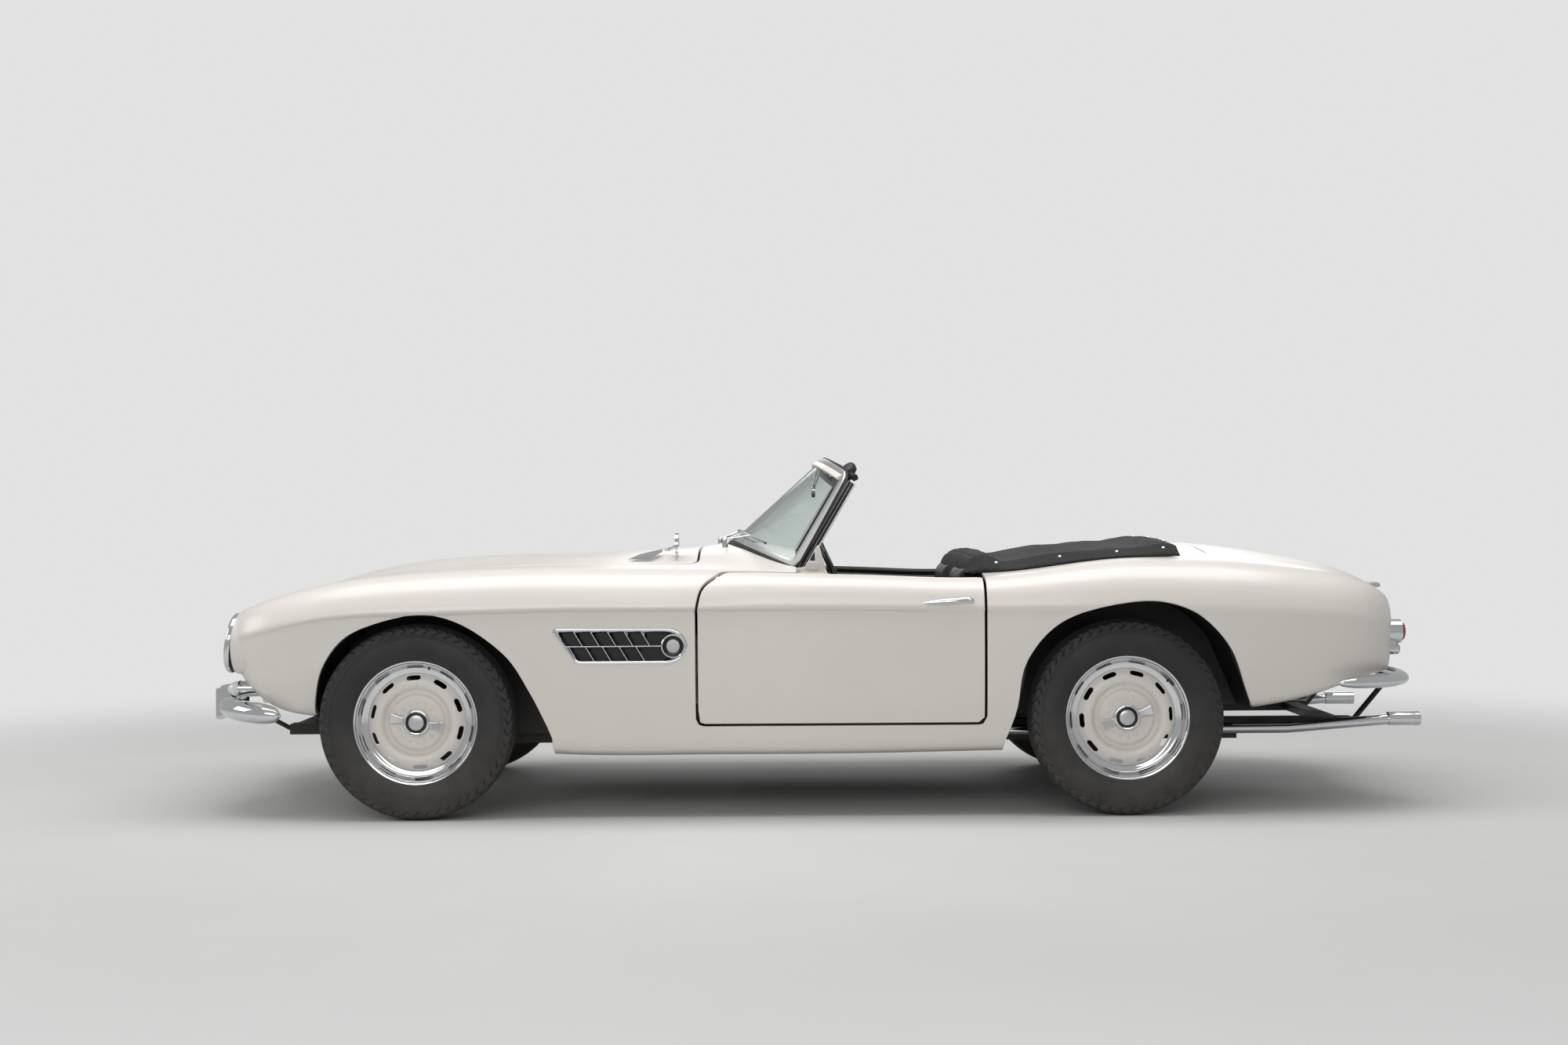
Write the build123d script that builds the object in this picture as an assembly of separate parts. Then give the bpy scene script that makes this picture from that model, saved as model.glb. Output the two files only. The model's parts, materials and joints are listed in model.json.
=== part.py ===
"""A two-seat open roadster with a long bonnet, built as separate panels on a frame.

All sizes are in millimetres. +Z is up, the ground is at Z 0, the nose points along -X and the
left side of the car is at -Y. The origin is on the ground below the middle of the car.
"""
from math import cos, radians, sin
import os

from build123d import *

# ---------------------------------------------------------------- driving dimensions
wheelbase = 2480.0
front_overhang = 820.0          # front axle to the face of the overriders
rear_overhang = 1120.0          # rear axle to the tips of the tail pipes
body_width = 1650.0
front_track = 1445.0
rear_track = 1425.0
tyre_radius = 342.0
tyre_width = 165.0
rim_radius = 220.5              # outside of the rim flange
bead_radius = 203.0             # where the tyre sits on the rim
rim_width = 136.0
wheel_slots = 10
skin = 22.0                     # body panel with its stiffening
house_wall = 10.0               # liner of a wheel arch
door_gap = 9.0
lid_gap = 8.0
door_thickness = 75.0
running_fit = 0.05              # radial clearance of a shaft in its bore
seat_gap = 0.3                  # between pieces that only rest together
king_pin_inset = 40.0           # steering axis inboard of the wheel's centre plane
spindle_radius = 20.0
king_pin_radius = 14.0
pipe_radius = 19.0
column_angle = 24.0             # steering column above the horizontal

# ---------------------------------------------------------------- places that follow from them
overall_length = front_overhang + wheelbase + rear_overhang
front_axle_x = front_overhang - overall_length / 2
rear_axle_x = front_axle_x + wheelbase
axle_z = tyre_radius

# The stations below are drawn for a 2480 wheelbase and a 1650 body, and follow both.
drawn_front, drawn_rear, drawn_width = -1390.0, 1090.0, 1650.0
drawn_tyre = 342.0              # the wheel arches are drawn for this tyre and follow it


def sx(x):
    """A drawn station on the real car: the overhangs keep their length."""
    if x <= drawn_front:
        return front_axle_x + (x - drawn_front)
    if x >= drawn_rear:
        return rear_axle_x + (x - drawn_rear)
    return front_axle_x + (x - drawn_front) * wheelbase / (drawn_rear - drawn_front)


def sy(y):
    """A drawn distance from the centre plane on the real car."""
    return y * body_width / drawn_width


# ---------------------------------------------------------------- body sections
# station, floor z, floor y, waist y, waist z, waist step, crown y, crown z, ridge y, ridge z, centre z
BODY = [
    (-2172, 560, 60, 110, 612, 2, 70, 652, 40, 662, 668),
    (-2140, 545, 240, 330, 618, 3, 250, 682, 150, 688, 694),
    (-2095, 525, 470, 560, 622, 4, 450, 708, 260, 706, 712),
    (-2045, 495, 590, 690, 632, 5, 590, 728, 300, 727, 733),
    (-1950, 405, 660, 768, 655, 8, 628, 764, 320, 757, 768),
    (-1750, 350, 700, 806, 700, 11, 642, 818, 335, 816, 838),
    (-1390, 280, 740, 824, 722, 13, 638, 864, 350, 868, 903),
    (-900, 215, 755, 812, 731, 14, 625, 878, 380, 908, 919),
    (-415, 210, 762, 806, 730, 14, 632, 872, 420, 934, 942),
    (-250, 210, 762, 806, 730, 14, 676, 867, 430, 930, 957),
    (-60, 210, 764, 806, 730, 13, 700, 858, 440, 905, 930),
    (250, 212, 765, 807, 727, 11, 712, 846, 450, 875, 892),
    (601, 218, 765, 810, 722, 6, 712, 838, 460, 860, 880),
    (1090, 260, 745, 826, 716, 3, 668, 896, 450, 905, 935),
    (1290, 315, 735, 822, 712, 3, 655, 897, 440, 914, 943),
    (1430, 345, 725, 816, 708, 2, 645, 893, 430, 917, 943),
    (1750, 398, 690, 774, 692, 2, 600, 860, 400, 878, 900),
    (1950, 460, 640, 706, 670, 2, 560, 818, 350, 840, 858),
    (2050, 475, 545, 602, 650, 2, 480, 775, 280, 805, 818),
    (2110, 480, 400, 445, 640, 2, 360, 750, 200, 782, 792),
    (2150, 490, 210, 250, 635, 2, 205, 735, 120, 760, 766),
    (2165, 500, 60, 100, 630, 2, 80, 730, 40, 745, 748),
]
step_drop = 9.0                 # height of the step under the waist line
side_belly = 8.0                # how far the flank bows out
shoulder_out, shoulder_up = 0.74, 0.70      # where the shoulder arc passes, as shares of its box


def rows(first, last):
    return [row for row in BODY if first <= row[0] <= last]


def half_points(row, inset, side):
    """The corner points of one half section, inset mm inside the skin."""
    station, floor_z, floor_y, waist_y, waist_z, step, crown_y, crown_z, ridge_y, ridge_z, top_z = row
    x = sx(station)
    floor_y, waist_y, crown_y, ridge_y = (sy(v) for v in (floor_y, waist_y, crown_y, ridge_y))
    low_y, low_z = waist_y - step - inset, waist_z - step_drop
    belly_y = (floor_y - inset + low_y) / 2 + 0.10 * (waist_y - step - floor_y) + side_belly
    shoulder_y = crown_y + (waist_y - crown_y) * shoulder_out - 0.75 * inset
    shoulder_z = waist_z + (crown_z - waist_z) * shoulder_up - 0.7 * inset
    return {
        "foot": (x, side * (floor_y - inset), floor_z + inset),
        "flat_foot": (x, side * (floor_y - inset), floor_z),
        "belly": (x, side * belly_y, (floor_z + inset + low_z) / 2),
        "low": (x, side * low_y, low_z),
        "waist": (x, side * (waist_y - inset), waist_z),
        "shoulder": (x, side * shoulder_y, shoulder_z),
        "crown": (x, side * (crown_y - 0.4 * inset), crown_z - inset),
        "ridge": (x, side * (ridge_y - 0.2 * inset), ridge_z - inset),
        "top": (x, 0.0, top_z - inset),
    }


def edge_point(row, edge_y, inset, side):
    """The point of the skin at edge_y, between the crown of the wing and the ridge."""
    points = half_points(row, inset, side)
    (x, crown_y, crown_z), (_, ridge_y, ridge_z) = points["crown"], points["ridge"]
    share = (abs(crown_y) - edge_y) / (abs(crown_y) - abs(ridge_y))
    return (x, side * edge_y, crown_z + (ridge_z - crown_z) * share)


def closed_face(edges):
    return Face(Wire(edges))


def flank_edges(p, foot):
    """From the foot of the body up over the waist line to the crown."""
    return [ThreePointArc(p[foot], p["belly"], p["low"]), Line(p["low"], p["waist"]),
            ThreePointArc(p["waist"], p["shoulder"], p["crown"])]


def solid_section(row, inset):
    """The whole body's section, or the room inside it, closed along the floor."""
    right, left = half_points(row, inset, 1), half_points(row, inset, -1)
    foot = "flat_foot" if inset else "foot"
    edges = [Line(left[foot], right[foot]), *flank_edges(right, foot),
             Line(right["crown"], right["ridge"]), ThreePointArc(right["ridge"], right["top"], left["ridge"]),
             Line(left["ridge"], left["crown"]), *flank_edges(left, foot)]
    return closed_face(edges)


def wing_section(row, edge_y, side=-1):
    """A skin-thick section of a wing, from its foot over the shoulder to edge_y."""
    out, inn = half_points(row, 0, side), half_points(row, skin, side)
    out_edge, in_edge = edge_point(row, edge_y, 0, side), edge_point(row, edge_y, skin, side)
    edges = [*flank_edges(out, "foot"), Line(out["crown"], out_edge), Line(out_edge, in_edge),
             Line(in_edge, inn["crown"]), *flank_edges(inn, "flat_foot"), Line(inn["flat_foot"], out["foot"])]
    return closed_face(edges)


def lid_section(row, edge_y):
    """A skin-thick section over the top of the car between two edges."""
    faces = []
    for inset in (0, skin):
        right, left = half_points(row, inset, 1), half_points(row, inset, -1)
        right_edge, left_edge = edge_point(row, edge_y, inset, 1), edge_point(row, edge_y, inset, -1)
        faces.append((right_edge, right["ridge"], right["top"], left["ridge"], left_edge))
    out, inn = faces
    edges = [Line(out[0], out[1]), ThreePointArc(out[1], out[2], out[3]), Line(out[3], out[4]), Line(out[4], inn[4]),
             Line(inn[4], inn[3]), ThreePointArc(inn[3], inn[2], inn[1]), Line(inn[1], inn[0]), Line(inn[0], out[0])]
    return closed_face(edges)


def cowl_section(row):
    """A skin-thick section over the top of the car from waist to waist."""
    faces = []
    for inset in (0, skin):
        faces.append((half_points(row, inset, 1), half_points(row, inset, -1)))
    (right, left), (in_right, in_left) = faces
    edges = [ThreePointArc(right["waist"], right["shoulder"], right["crown"]), Line(right["crown"], right["ridge"]),
             ThreePointArc(right["ridge"], right["top"], left["ridge"]), Line(left["ridge"], left["crown"]),
             ThreePointArc(left["crown"], left["shoulder"], left["waist"]), Line(left["waist"], in_left["waist"]),
             ThreePointArc(in_left["waist"], in_left["shoulder"], in_left["crown"]),
             Line(in_left["crown"], in_left["ridge"]),
             ThreePointArc(in_left["ridge"], in_left["top"], in_right["ridge"]),
             Line(in_right["ridge"], in_right["crown"]),
             ThreePointArc(in_right["crown"], in_right["shoulder"], in_right["waist"]),
             Line(in_right["waist"], right["waist"])]
    return closed_face(edges)


def slab_section(row, side=-1):
    """One flank as a thick slab, for the doors and sills."""
    p = half_points(row, 0, side)
    deep = side * sy(600)
    edges = [*flank_edges(p, "foot"), Line(p["crown"], (p["crown"][0], deep, p["crown"][2])),
             Line((p["crown"][0], deep, p["crown"][2]), (p["foot"][0], deep, p["foot"][2])),
             Line((p["foot"][0], deep, p["foot"][2]), p["foot"])]
    return closed_face(edges)


# ---------------------------------------------------------------- small helpers
high, wide = 1500.0, 1200.0


def block(x0, x1, y0, y1, z0, z1):
    """A box between two corners."""
    return Pos((x0 + x1) / 2, (y0 + y1) / 2, (z0 + z1) / 2) * Box(abs(x1 - x0), abs(y1 - y0), abs(z1 - z0))


def side_prism(edges, y0, y1):
    """A closed outline drawn in side view, carried from y0 to y1."""
    face = (Plane.XZ * closed_face(edges)).moved(Location((0, y0, 0)))
    return extrude(face, amount=y1 - y0, dir=(0, 1, 0))


def side_polygon(points, y0, y1):
    return side_prism(Polyline(*points, close=True).edges(), y0, y1)


def plan_polygon(points, z0, z1):
    face = closed_face(Polyline(*points, close=True).edges())
    return extrude(Pos(0, 0, z0) * face, amount=z1 - z0, dir=(0, 0, 1))


def arcs_through(points):
    """Three-point arcs through an odd-numbered list of points, two spans at a time."""
    return [ThreePointArc(points[i], points[i + 1], points[i + 2]) for i in range(0, len(points) - 2, 2)]


def bar(path, radius):
    """A round bar along a path."""
    return sweep(Plane(origin=path @ 0, z_dir=path % 0) * Circle(radius), path=path)


def along_y(radius, x, y0, y1, z):
    return Pos(x, (y0 + y1) / 2, z) * Rot(90, 0, 0) * Cylinder(radius, abs(y1 - y0))


def along_x(radius, x0, x1, y, z):
    return Pos((x0 + x1) / 2, y, z) * Rot(0, 90, 0) * Cylinder(radius, abs(x1 - x0))


def mirrored(part):
    return mirror(part, about=Plane.XZ)


def both(part):
    """A left piece with its right-hand twin, as solids that don't touch."""
    return Compound(children=[*part.solids(), *mirrored(part).solids()])


def largest(part):
    return max(part.solids(), key=lambda solid: solid.volume)


def save(name, part):
    solids = list(part.solids())
    export_step(solids[0] if len(solids) == 1 else Compound(children=solids), f"parts/{name}.step")


# ---------------------------------------------------------------- wheel arches
# distance behind the axle and height above it, from the front foot of the arch to its rear foot
FRONT_ARCH = [(-368, -10), (-361, 80), (-323, 203), (-222, 312), (-18, 372),
              (145, 350), (308, 237), (395, 105), (471, -52)]
REAR_ARCH = [(-430, -90), (-385, 32), (-350, 203), (-214, 346), (44, 409),
             (221, 373), (351, 252), (417, 99), (462, -10)]
arch_inner_y = 455.0            # inside wall of a wheel arch
arch_below = 300.0


def arch_prism(points, axle_x, grow, y0, y1):
    """The opening of a wheel arch, grown outwards for its liner."""
    top = []
    size = tyre_radius / drawn_tyre
    for ahead, up in [(size * ahead, size * up) for ahead, up in points]:
        length = (ahead ** 2 + up ** 2) ** 0.5
        top.append((axle_x + ahead * (1 + grow / length), axle_z + up + max(up, 0) * grow / length))
    first, last = (top[0][0], top[0][1] - arch_below), (top[-1][0], top[-1][1] - arch_below)
    edges = [Line(first, top[0]), *arcs_through(top), Line(top[-1], last), Line(last, first)]
    return side_prism(edges, y0, y1)


# ---------------------------------------------------------------- edges of the panels
nose_x, wing_rear_x = -1950.0, -415.0
door_x = (wing_rear_x + door_gap, 601.0 - door_gap)
door_z = (330.0, 730.0)         # foot of the door and where its front edge starts to curve
door_inner_y = 716.0            # inner edge of the door's top rail
rail_z = 790.0                  # the door is thick above this height
well_x = (601.0, 1290.0)        # well of the folded hood
well_y = 600.0
tail_x = 1950.0
boot_low_z = 735.0
bonnet_ledge_z = 728.4 - skin   # ledge that the front edge of the bonnet shuts down on
# station and half-width of the bonnet and of the boot lid
BONNET_EDGE = [(-2040, 395), (-1390, 520), (-417, 585)]
BOOT_EDGE = [(1430, 505), (1750, 475), (2040, 400)]


def edge_y_at(table, station):
    """The half-width of a lid at a station, straight between the rows of its table."""
    for (x0, y0), (x1, y1) in zip(table, table[1:]):
        if station <= x1:
            return sy(y0 + (y1 - y0) * (station - x0) / (x1 - x0))
    return sy(table[-1][1])


def lid_prism(table, grow, x_end, z0):
    """The plan outline of a lid from z0 up."""
    outline = [(sx(table[0][0]) - grow, sy(table[0][1]) + grow), (sx(table[1][0]), sy(table[1][1]) + grow),
               (sx(table[2][0]), sy(table[2][1]) + grow), (x_end, sy(table[2][1]) + grow)]
    outline += [(x, -y) for x, y in reversed(outline)]
    return plan_polygon(outline, z0, high)


def door_prism(grow, y0, y1):
    """The door in side view, or with grow the hole it closes."""
    front, rear = sx(door_x[0]) - grow, sx(door_x[1]) + grow
    low, bend, top = door_z[0] - grow, door_z[1], 960.0
    curve_end = (sx(-338) - grow, 842 + grow * 0.3)
    middle = (sx(-388) - grow * 0.8, 800 + grow * 0.6)
    edges = [Line((front, low), (front, bend)), ThreePointArc((front, bend), middle, curve_end),
             Line(curve_end, (curve_end[0], top)), Line((curve_end[0], top), (rear, top)),
             Line((rear, top), (rear, low)), Line((rear, low), (front, low))]
    return side_prism(edges, y0, y1)


# ---------------------------------------------------------------- nose
lamp_y, lamp_z, lamp_radius = 600.0, 612.0, 103.0
grille_y, grille_z, grille_height = (30.0, 440.0), 578.0, 112.0
# side vent in the wing: corners in side view
VENT = [(-914, 664), (-500, 662), (-500, 546), (-830, 546)]


def grille_prism(grow, x0, x1):
    """One wide grille opening, carried along the car on the left."""
    middle, width = -(sy(grille_y[0]) + sy(grille_y[1])) / 2, sy(grille_y[1]) - sy(grille_y[0])
    height = grille_height + 2 * grow
    face = Pos(middle, grille_z) * RectangleRounded(width + 2 * grow, height, height * 0.44)
    return extrude(Plane.YZ * face, amount=x1 - x0).moved(Location((x0, 0, 0)))


def vent_prism(grow, y0, y1):
    (x0, z0), (x1, z1), (x2, z2), (x3, z3) = [(sx(x), z) for x, z in VENT]
    edges = [Line((x0 - 2 * grow, z0 + grow), (x1, z1 + grow)),
             ThreePointArc((x1, z1 + grow), (x1 + (z1 - z2) / 2 + grow, (z1 + z2) / 2), (x2, z2 - grow)),
             Line((x2, z2 - grow), (x3 - grow, z3 - grow)), Line((x3 - grow, z3 - grow), (x0 - 2 * grow, z0 + grow))]
    return side_prism(edges, y0, y1)


def make_nose():
    nose = loft([solid_section(row, 0) for row in rows(-2172, nose_x)])
    nose = nose - block(sx(-2060), sx(nose_x), -sy(560), sy(560), 300, 690)
    nose = nose - lid_prism(BONNET_EDGE, lid_gap, sx(-400), bonnet_ledge_z)
    nose = nose - lid_prism(BONNET_EDGE, -24, sx(-400), 640)
    nose = nose - grille_prism(0, sx(-2300), sx(-2040)) - mirrored(grille_prism(0, sx(-2300), sx(-2040)))
    for side in (-1, 1):
        nose = nose - along_x(lamp_radius + seat_gap, sx(-2200), sx(-1990), side * sy(lamp_y), lamp_z)
    return largest(nose)


def make_front_wing():
    stations = rows(nose_x, wing_rear_x)
    wing = loft([wing_section(row, edge_y_at(BONNET_EDGE, row[0]) + lid_gap) for row in stations])
    wing = wing - arch_prism(FRONT_ARCH, front_axle_x, 0, -wide, -100)
    return wing - vent_prism(0, -wide, -sy(600))


def make_bonnet():
    front = BODY[3]
    stations = [(-2040, *front[1:7], front[7] + 2, front[8] + 1, front[9] + 2, front[10] + 2)]
    stations += [row for row in rows(nose_x, -900)]
    last = rows(wing_rear_x, wing_rear_x)[0]
    stations.append((-417, *last[1:]))
    return loft([lid_section(row, edge_y_at(BONNET_EDGE, row[0])) for row in stations])


def cowl_rows():
    return rows(wing_rear_x, -60)


def make_scuttle():
    """The panel the windscreen stands on, with the corner over the front edge of each door."""
    cowl = loft([cowl_section(row) for row in cowl_rows()])
    cowl = cowl - block(sx(-430), sx(-409), -sy(585) - lid_gap, sy(585) + lid_gap, 600, high)
    edge = sy(door_inner_y) - door_gap
    for side in (-1, 1):
        y0, y1 = sorted((side * edge, side * wide))
        cowl = cowl - door_prism(door_gap, y0, y1)
    return cowl


def under_cowl():
    """The room under the scuttle, which its bulkhead and dashboard fill."""
    return loft([solid_section(row, skin + seat_gap) for row in cowl_rows()])


def make_rear_wing():
    wing = loft([wing_section(row, sy(row[8]) + 4) for row in rows(well_x[0], tail_x)])
    wing = wing - block(sx(well_x[0]) - 1, sx(1430) - lid_gap, -sy(well_y), 0, 700, high)
    wing = wing - lid_prism(BOOT_EDGE, lid_gap, sx(2300), 700)
    return largest(wing - arch_prism(REAR_ARCH, rear_axle_x, 0, -wide, -100))


def make_rear_deck():
    """The panel between the hood well and the boot lid."""
    first, last = rows(1290, 1430)
    share = (1422.0 - 1290) / (1430 - 1290)
    end = (1422.0, *[a + (b - a) * share for a, b in zip(first[1:], last[1:])])
    return loft([lid_section(row, sy(well_y) - seat_gap) for row in (first, end)])


def make_tail():
    stations = rows(tail_x, 2200)
    tail = loft([solid_section(row, 0) for row in stations])
    panel = tail - block(sx(tail_x) - 10, sx(2085), -sy(500), sy(500), 300, 700)
    panel = panel - lid_prism(BOOT_EDGE, lid_gap, sx(2300), boot_low_z - lid_gap)
    panel = largest(panel) + block(sx(2085), sx(2104), -240, 240, 690, boot_low_z - 0.6)
    lip = tail & lid_prism(BOOT_EDGE, 0, sx(2300), boot_low_z)
    lip = lip - side_polygon([(sx(tail_x) - 1, 790), (sx(2040), 752), (sx(2120), 700), (sx(tail_x) - 1, 600)], -wide, wide)
    return tail, panel, largest(lip)


def make_boot_lid(lip):
    lid = loft([lid_section(row, sy(row[6]) - 5) for row in rows(1430, tail_x)])
    return (lid & lid_prism(BOOT_EDGE, 0, sx(2300), 600)) + lip


def make_slab():
    return loft([slab_section(row) for row in rows(wing_rear_x, 601)])


def make_door(slab):
    """A whole left door with the slot for its wound-down window."""
    door = slab & door_prism(0, -wide, -sy(door_inner_y))
    inner_y = sy(806) - door_thickness
    door = door - block(sx(-500), sx(700), -inner_y, 0, 200, rail_z)
    return largest(door - block(sx(-60), sx(560), -sy(752), -sy(744), rail_z - 30, high))


def make_sill(slab):
    sill = slab & block(sx(wing_rear_x) + seat_gap, sx(601) - seat_gap, -wide, -sy(sill_y), 0, door_z[0] - door_gap)
    return sill


# ---------------------------------------------------------------- wheels
# profile of the rim, as distance outboard of the wheel's centre plane and radius
RIM = [(-68, 0), (-63, 0), (-60, -17.5), (-38, -17.5), (-26, -34.5), (20, -34.5), (32, -17.5), (60, -17.5),
       (63, 0), (68, 0), (68, -6.5), (60, -24.5), (34, -24.5), (23, -41.5), (-29, -41.5), (-41, -24.5),
       (-60, -24.5), (-68, -6.5)]
hub_radius, hub_back, hub_face = 48.0, -8.0, 46.0
DISC = [(28, 46), (36, 46), (40, 110), (26, 150), (14, 181), (5, 181), (17, 148), (31, 108)]
slot_at, slot_long, slot_high = 152.0, 46.0, 17.0
spinner_span = 188.0            # across the two ears of a spinner


def wheel_profile(points):
    """A closed profile of (outboard, radius) points, turned round the axle; outboard is -Y."""
    face = closed_face(Polyline(*[(-a, r) for a, r in points], close=True).edges())
    return revolve(Plane.YZ * face, Axis.Y)


def make_wheel():
    """Rim, slotted disc and hub, centred on the origin with its face towards -Y."""
    rim = wheel_profile([(a * rim_width / 136.0, rim_radius + r) for a, r in RIM])
    disc = wheel_profile([(a, r if r < 180 else rim_radius - 39.5) for a, r in DISC])
    hub = along_y(hub_radius, 0, -hub_face, -hub_back, 0)
    wheel = rim + disc + hub
    slot = extrude(Plane.XZ * SlotOverall(slot_long, slot_high), amount=80)
    for k in range(wheel_slots):
        wheel = wheel - Rot(0, 360.0 * k / wheel_slots, 0) * Pos(0, 0, slot_at) * slot
    for k in range(16):
        wheel = wheel + Rot(0, 22.5 * k, 0) * along_y(7, 0, -41.5, -33, 68)
    return wheel - along_y(spindle_radius + running_fit, 0, -200, 200, 0)


def make_spinner():
    """The two-eared nut on the face of the hub."""
    y0 = -hub_face - seat_gap
    cone = Pos(0, y0 - 11, 0) * Rot(90, 0, 0) * Cone(34, 24, 22)
    ears = Rot(0, 13, 0) * Pos(0, y0 - 9, 0) * extrude(Plane.XZ * SlotOverall(spinner_span, 30), amount=5, both=True)
    return cone + ears


def make_tyre():
    half, r = tyre_width / 2, tyre_radius
    inner = bead_radius + seat_gap
    edges = [Line((-52, inner), (52, inner)), Line((52, inner), (57, rim_radius + 2)),
             ThreePointArc((57, rim_radius + 2), (half, r - 68), (half - 14, r - 12)),
             ThreePointArc((half - 14, r - 12), (0, r), (-half + 14, r - 12)),
             ThreePointArc((-half + 14, r - 12), (-half, r - 68), (-57, rim_radius + 2)),
             Line((-57, rim_radius + 2), (-52, inner))]
    return revolve(Plane.YZ * closed_face(edges), Axis.Y)


front_y, rear_y = front_track / 2, rear_track / 2
PLACES = {
    "front_left": (front_axle_x, -front_y), "front_right": (front_axle_x, front_y),
    "rear_left": (rear_axle_x, -rear_y), "rear_right": (rear_axle_x, rear_y),
}


def save_wheels():
    parts = {"wheel": make_wheel(), "tyre": make_tyre(), "spinner": make_spinner()}
    for place, (x, y) in PLACES.items():
        for name, part in parts.items():
            turned = mirrored(part) if y > 0 else part
            save(f"{name}_{place}", Pos(x, y, axle_z) * turned)


# ---------------------------------------------------------------- running gear
firewall_x = (-335.0, -317.0)
sill_y = 700.0
tunnel = (110.0, 450.0)
tub_top_z = 790.0
rail_y = (sy(300.0), sy(370.0))
rail_mid = sum(rail_y) / 2
horn_x, horn_low = (-1760.0, 1560.0), 262.0    # the rails are shallow beyond these stations
rail_x = (-1930.0, 1990.0)
rail_low, floor_low, floor_high = 225.0, 300.0, 318.0
king_pin_y = front_track / 2 - king_pin_inset
arm_z = (axle_z - 127.0, axle_z + 133.0)
stub_end = 38.0                 # how far a stub reaches outboard of the wheel's centre plane


def make_frame():
    """Two rails with cross-members."""
    rail = block(sx(rail_x[0]), sx(rail_x[1]), -rail_y[1], -rail_y[0], rail_low, floor_low - seat_gap)
    rail = rail - block(sx(rail_x[0]) - 1, sx(horn_x[0]), -wide, 0, 0, horn_low)
    rail = rail - block(sx(horn_x[1]), sx(rail_x[1]) + 1, -wide, 0, 0, horn_low)
    frame = rail + mirrored(rail)
    for x in (-1925, -1390, -850, -300, 560, 1440, 1900):
        low = rail_low + 4 if horn_x[0] < x < horn_x[1] else horn_low + 4
        frame = frame + block(sx(x), sx(x) + 55, -rail_y[0] - 5, rail_y[0] + 5, low, floor_low - seat_gap - 4)
    return frame


def make_front_suspension():
    """Towers, wishbones and king pins, standing on the frame."""
    x = front_axle_x
    tower = block(x - 120, x + 120, -rail_y[1] - 15, -rail_y[1] + 35, floor_low, arm_z[1])
    king_pin = Pos(x, -king_pin_y, sum(arm_z) / 2) * Cylinder(king_pin_radius, arm_z[1] - arm_z[0])
    root_y = -rail_y[1] - seat_gap
    arm = plan_polygon([(x - 115, root_y), (x + 115, root_y), (x + 17, -king_pin_y), (x - 17, -king_pin_y)], 0, 18)
    arm = arm + Pos(x, -king_pin_y, 9) * Cylinder(18, 18)
    upper = arm.moved(Location((0, 0, arm_z[1] - 18)))
    lower = arm.moved(Location((0, 0, arm_z[0])))
    post = block(x - 120, x + 120, root_y - 14, root_y, arm_z[0], arm_z[1])
    return tower + upper + lower + king_pin + post


def make_knuckle():
    """An upright on its king pin with the stub axle and the backplate, left side."""
    x, z0, z1 = front_axle_x, arm_z[0] + 20, arm_z[1] - 20
    upright = block(x - 26, x + 26, -king_pin_y - 22, -king_pin_y + 22, z0, z1)
    stub = along_y(spindle_radius, x, -front_y - stub_end, -king_pin_y, axle_z)
    plate = along_y(104, x, -front_y + 10, -front_y + 16, axle_z)
    plate = plate + along_y(30, x, -front_y + 10, -king_pin_y, axle_z)
    bore = Pos(x, -king_pin_y, sum(arm_z) / 2) * Cylinder(king_pin_radius + running_fit, 400)
    return upright + stub + plate - bore


def make_rear_axle():
    x, inner = rear_axle_x, rear_y - 60
    tube = along_y(36, x, -inner, inner, axle_z)
    stubs = along_y(spindle_radius, x, -rear_y - stub_end, rear_y + stub_end, axle_z)
    case = Pos(x, 0, axle_z) * Sphere(115)
    axle = tube + stubs + case
    for side in (-1, 1):
        axle = axle + along_y(135, x, side * inner, side * (inner - 12), axle_z)
        y0, y1 = sorted((side * rail_y[0], side * rail_y[1]))
        axle = axle + block(x - 60, x + 60, y0, y1, floor_low, axle_z)
    return axle


def make_floor():
    """Flat floor with its tunnel."""
    x0, x1 = sx(firewall_x[1]) + seat_gap, sx(well_x[0]) + 1 - seat_gap
    width = sy(sill_y) - seat_gap
    floor = block(x0, x1, -width, width, floor_low, floor_high) + block(x0, x1, -tunnel[0], tunnel[0], floor_low, tunnel[1])
    return floor - block(x0 - 1, x1 + 1, -tunnel[0] + 18, tunnel[0] - 18, 0, tunnel[1] - 18)


def make_bulkhead(room):
    """The firewall, open at the foot for the gearbox."""
    wall = room & block(sx(firewall_x[0]), sx(firewall_x[1]), -sy(690), sy(690), floor_low, high)
    return wall - block(sx(-400), sx(-300), -tunnel[0] + 18, tunnel[0] - 18, 0, tunnel[1] - 18)


def make_rear_tub(room):
    """The wall behind the seats with the doors' rebates, and the floor of the hood well and boot."""
    x0, x1 = sx(well_x[0]) + 1, sx(well_x[0]) + 19
    wall = room & block(x0, x1, -wide, wide, floor_low, tub_top_z)
    inner = sy(arch_inner_y) - house_wall - seat_gap
    shelf = block(x0, sx(1400), -inner, inner, 560, 578) + block(sx(1382), sx(1400), -inner, inner, 480, 578)
    boot = block(sx(1382), sx(2085) - seat_gap, -inner, inner, 480, 498)
    tub = wall + shelf + boot - block(x0 - 1, x1 + 1, -tunnel[0] + 18, tunnel[0] - 18, 0, tunnel[1] - 18)
    for side in (-1, 1):
        y0, y1 = sorted((side * (sy(806) - door_thickness - seat_gap), side * (sy(806) - door_thickness - 12)))
        tub = tub + block(x0 - 26, x0, y0, y1, door_z[0] + 8, rail_z - 12)
    return tub


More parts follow.
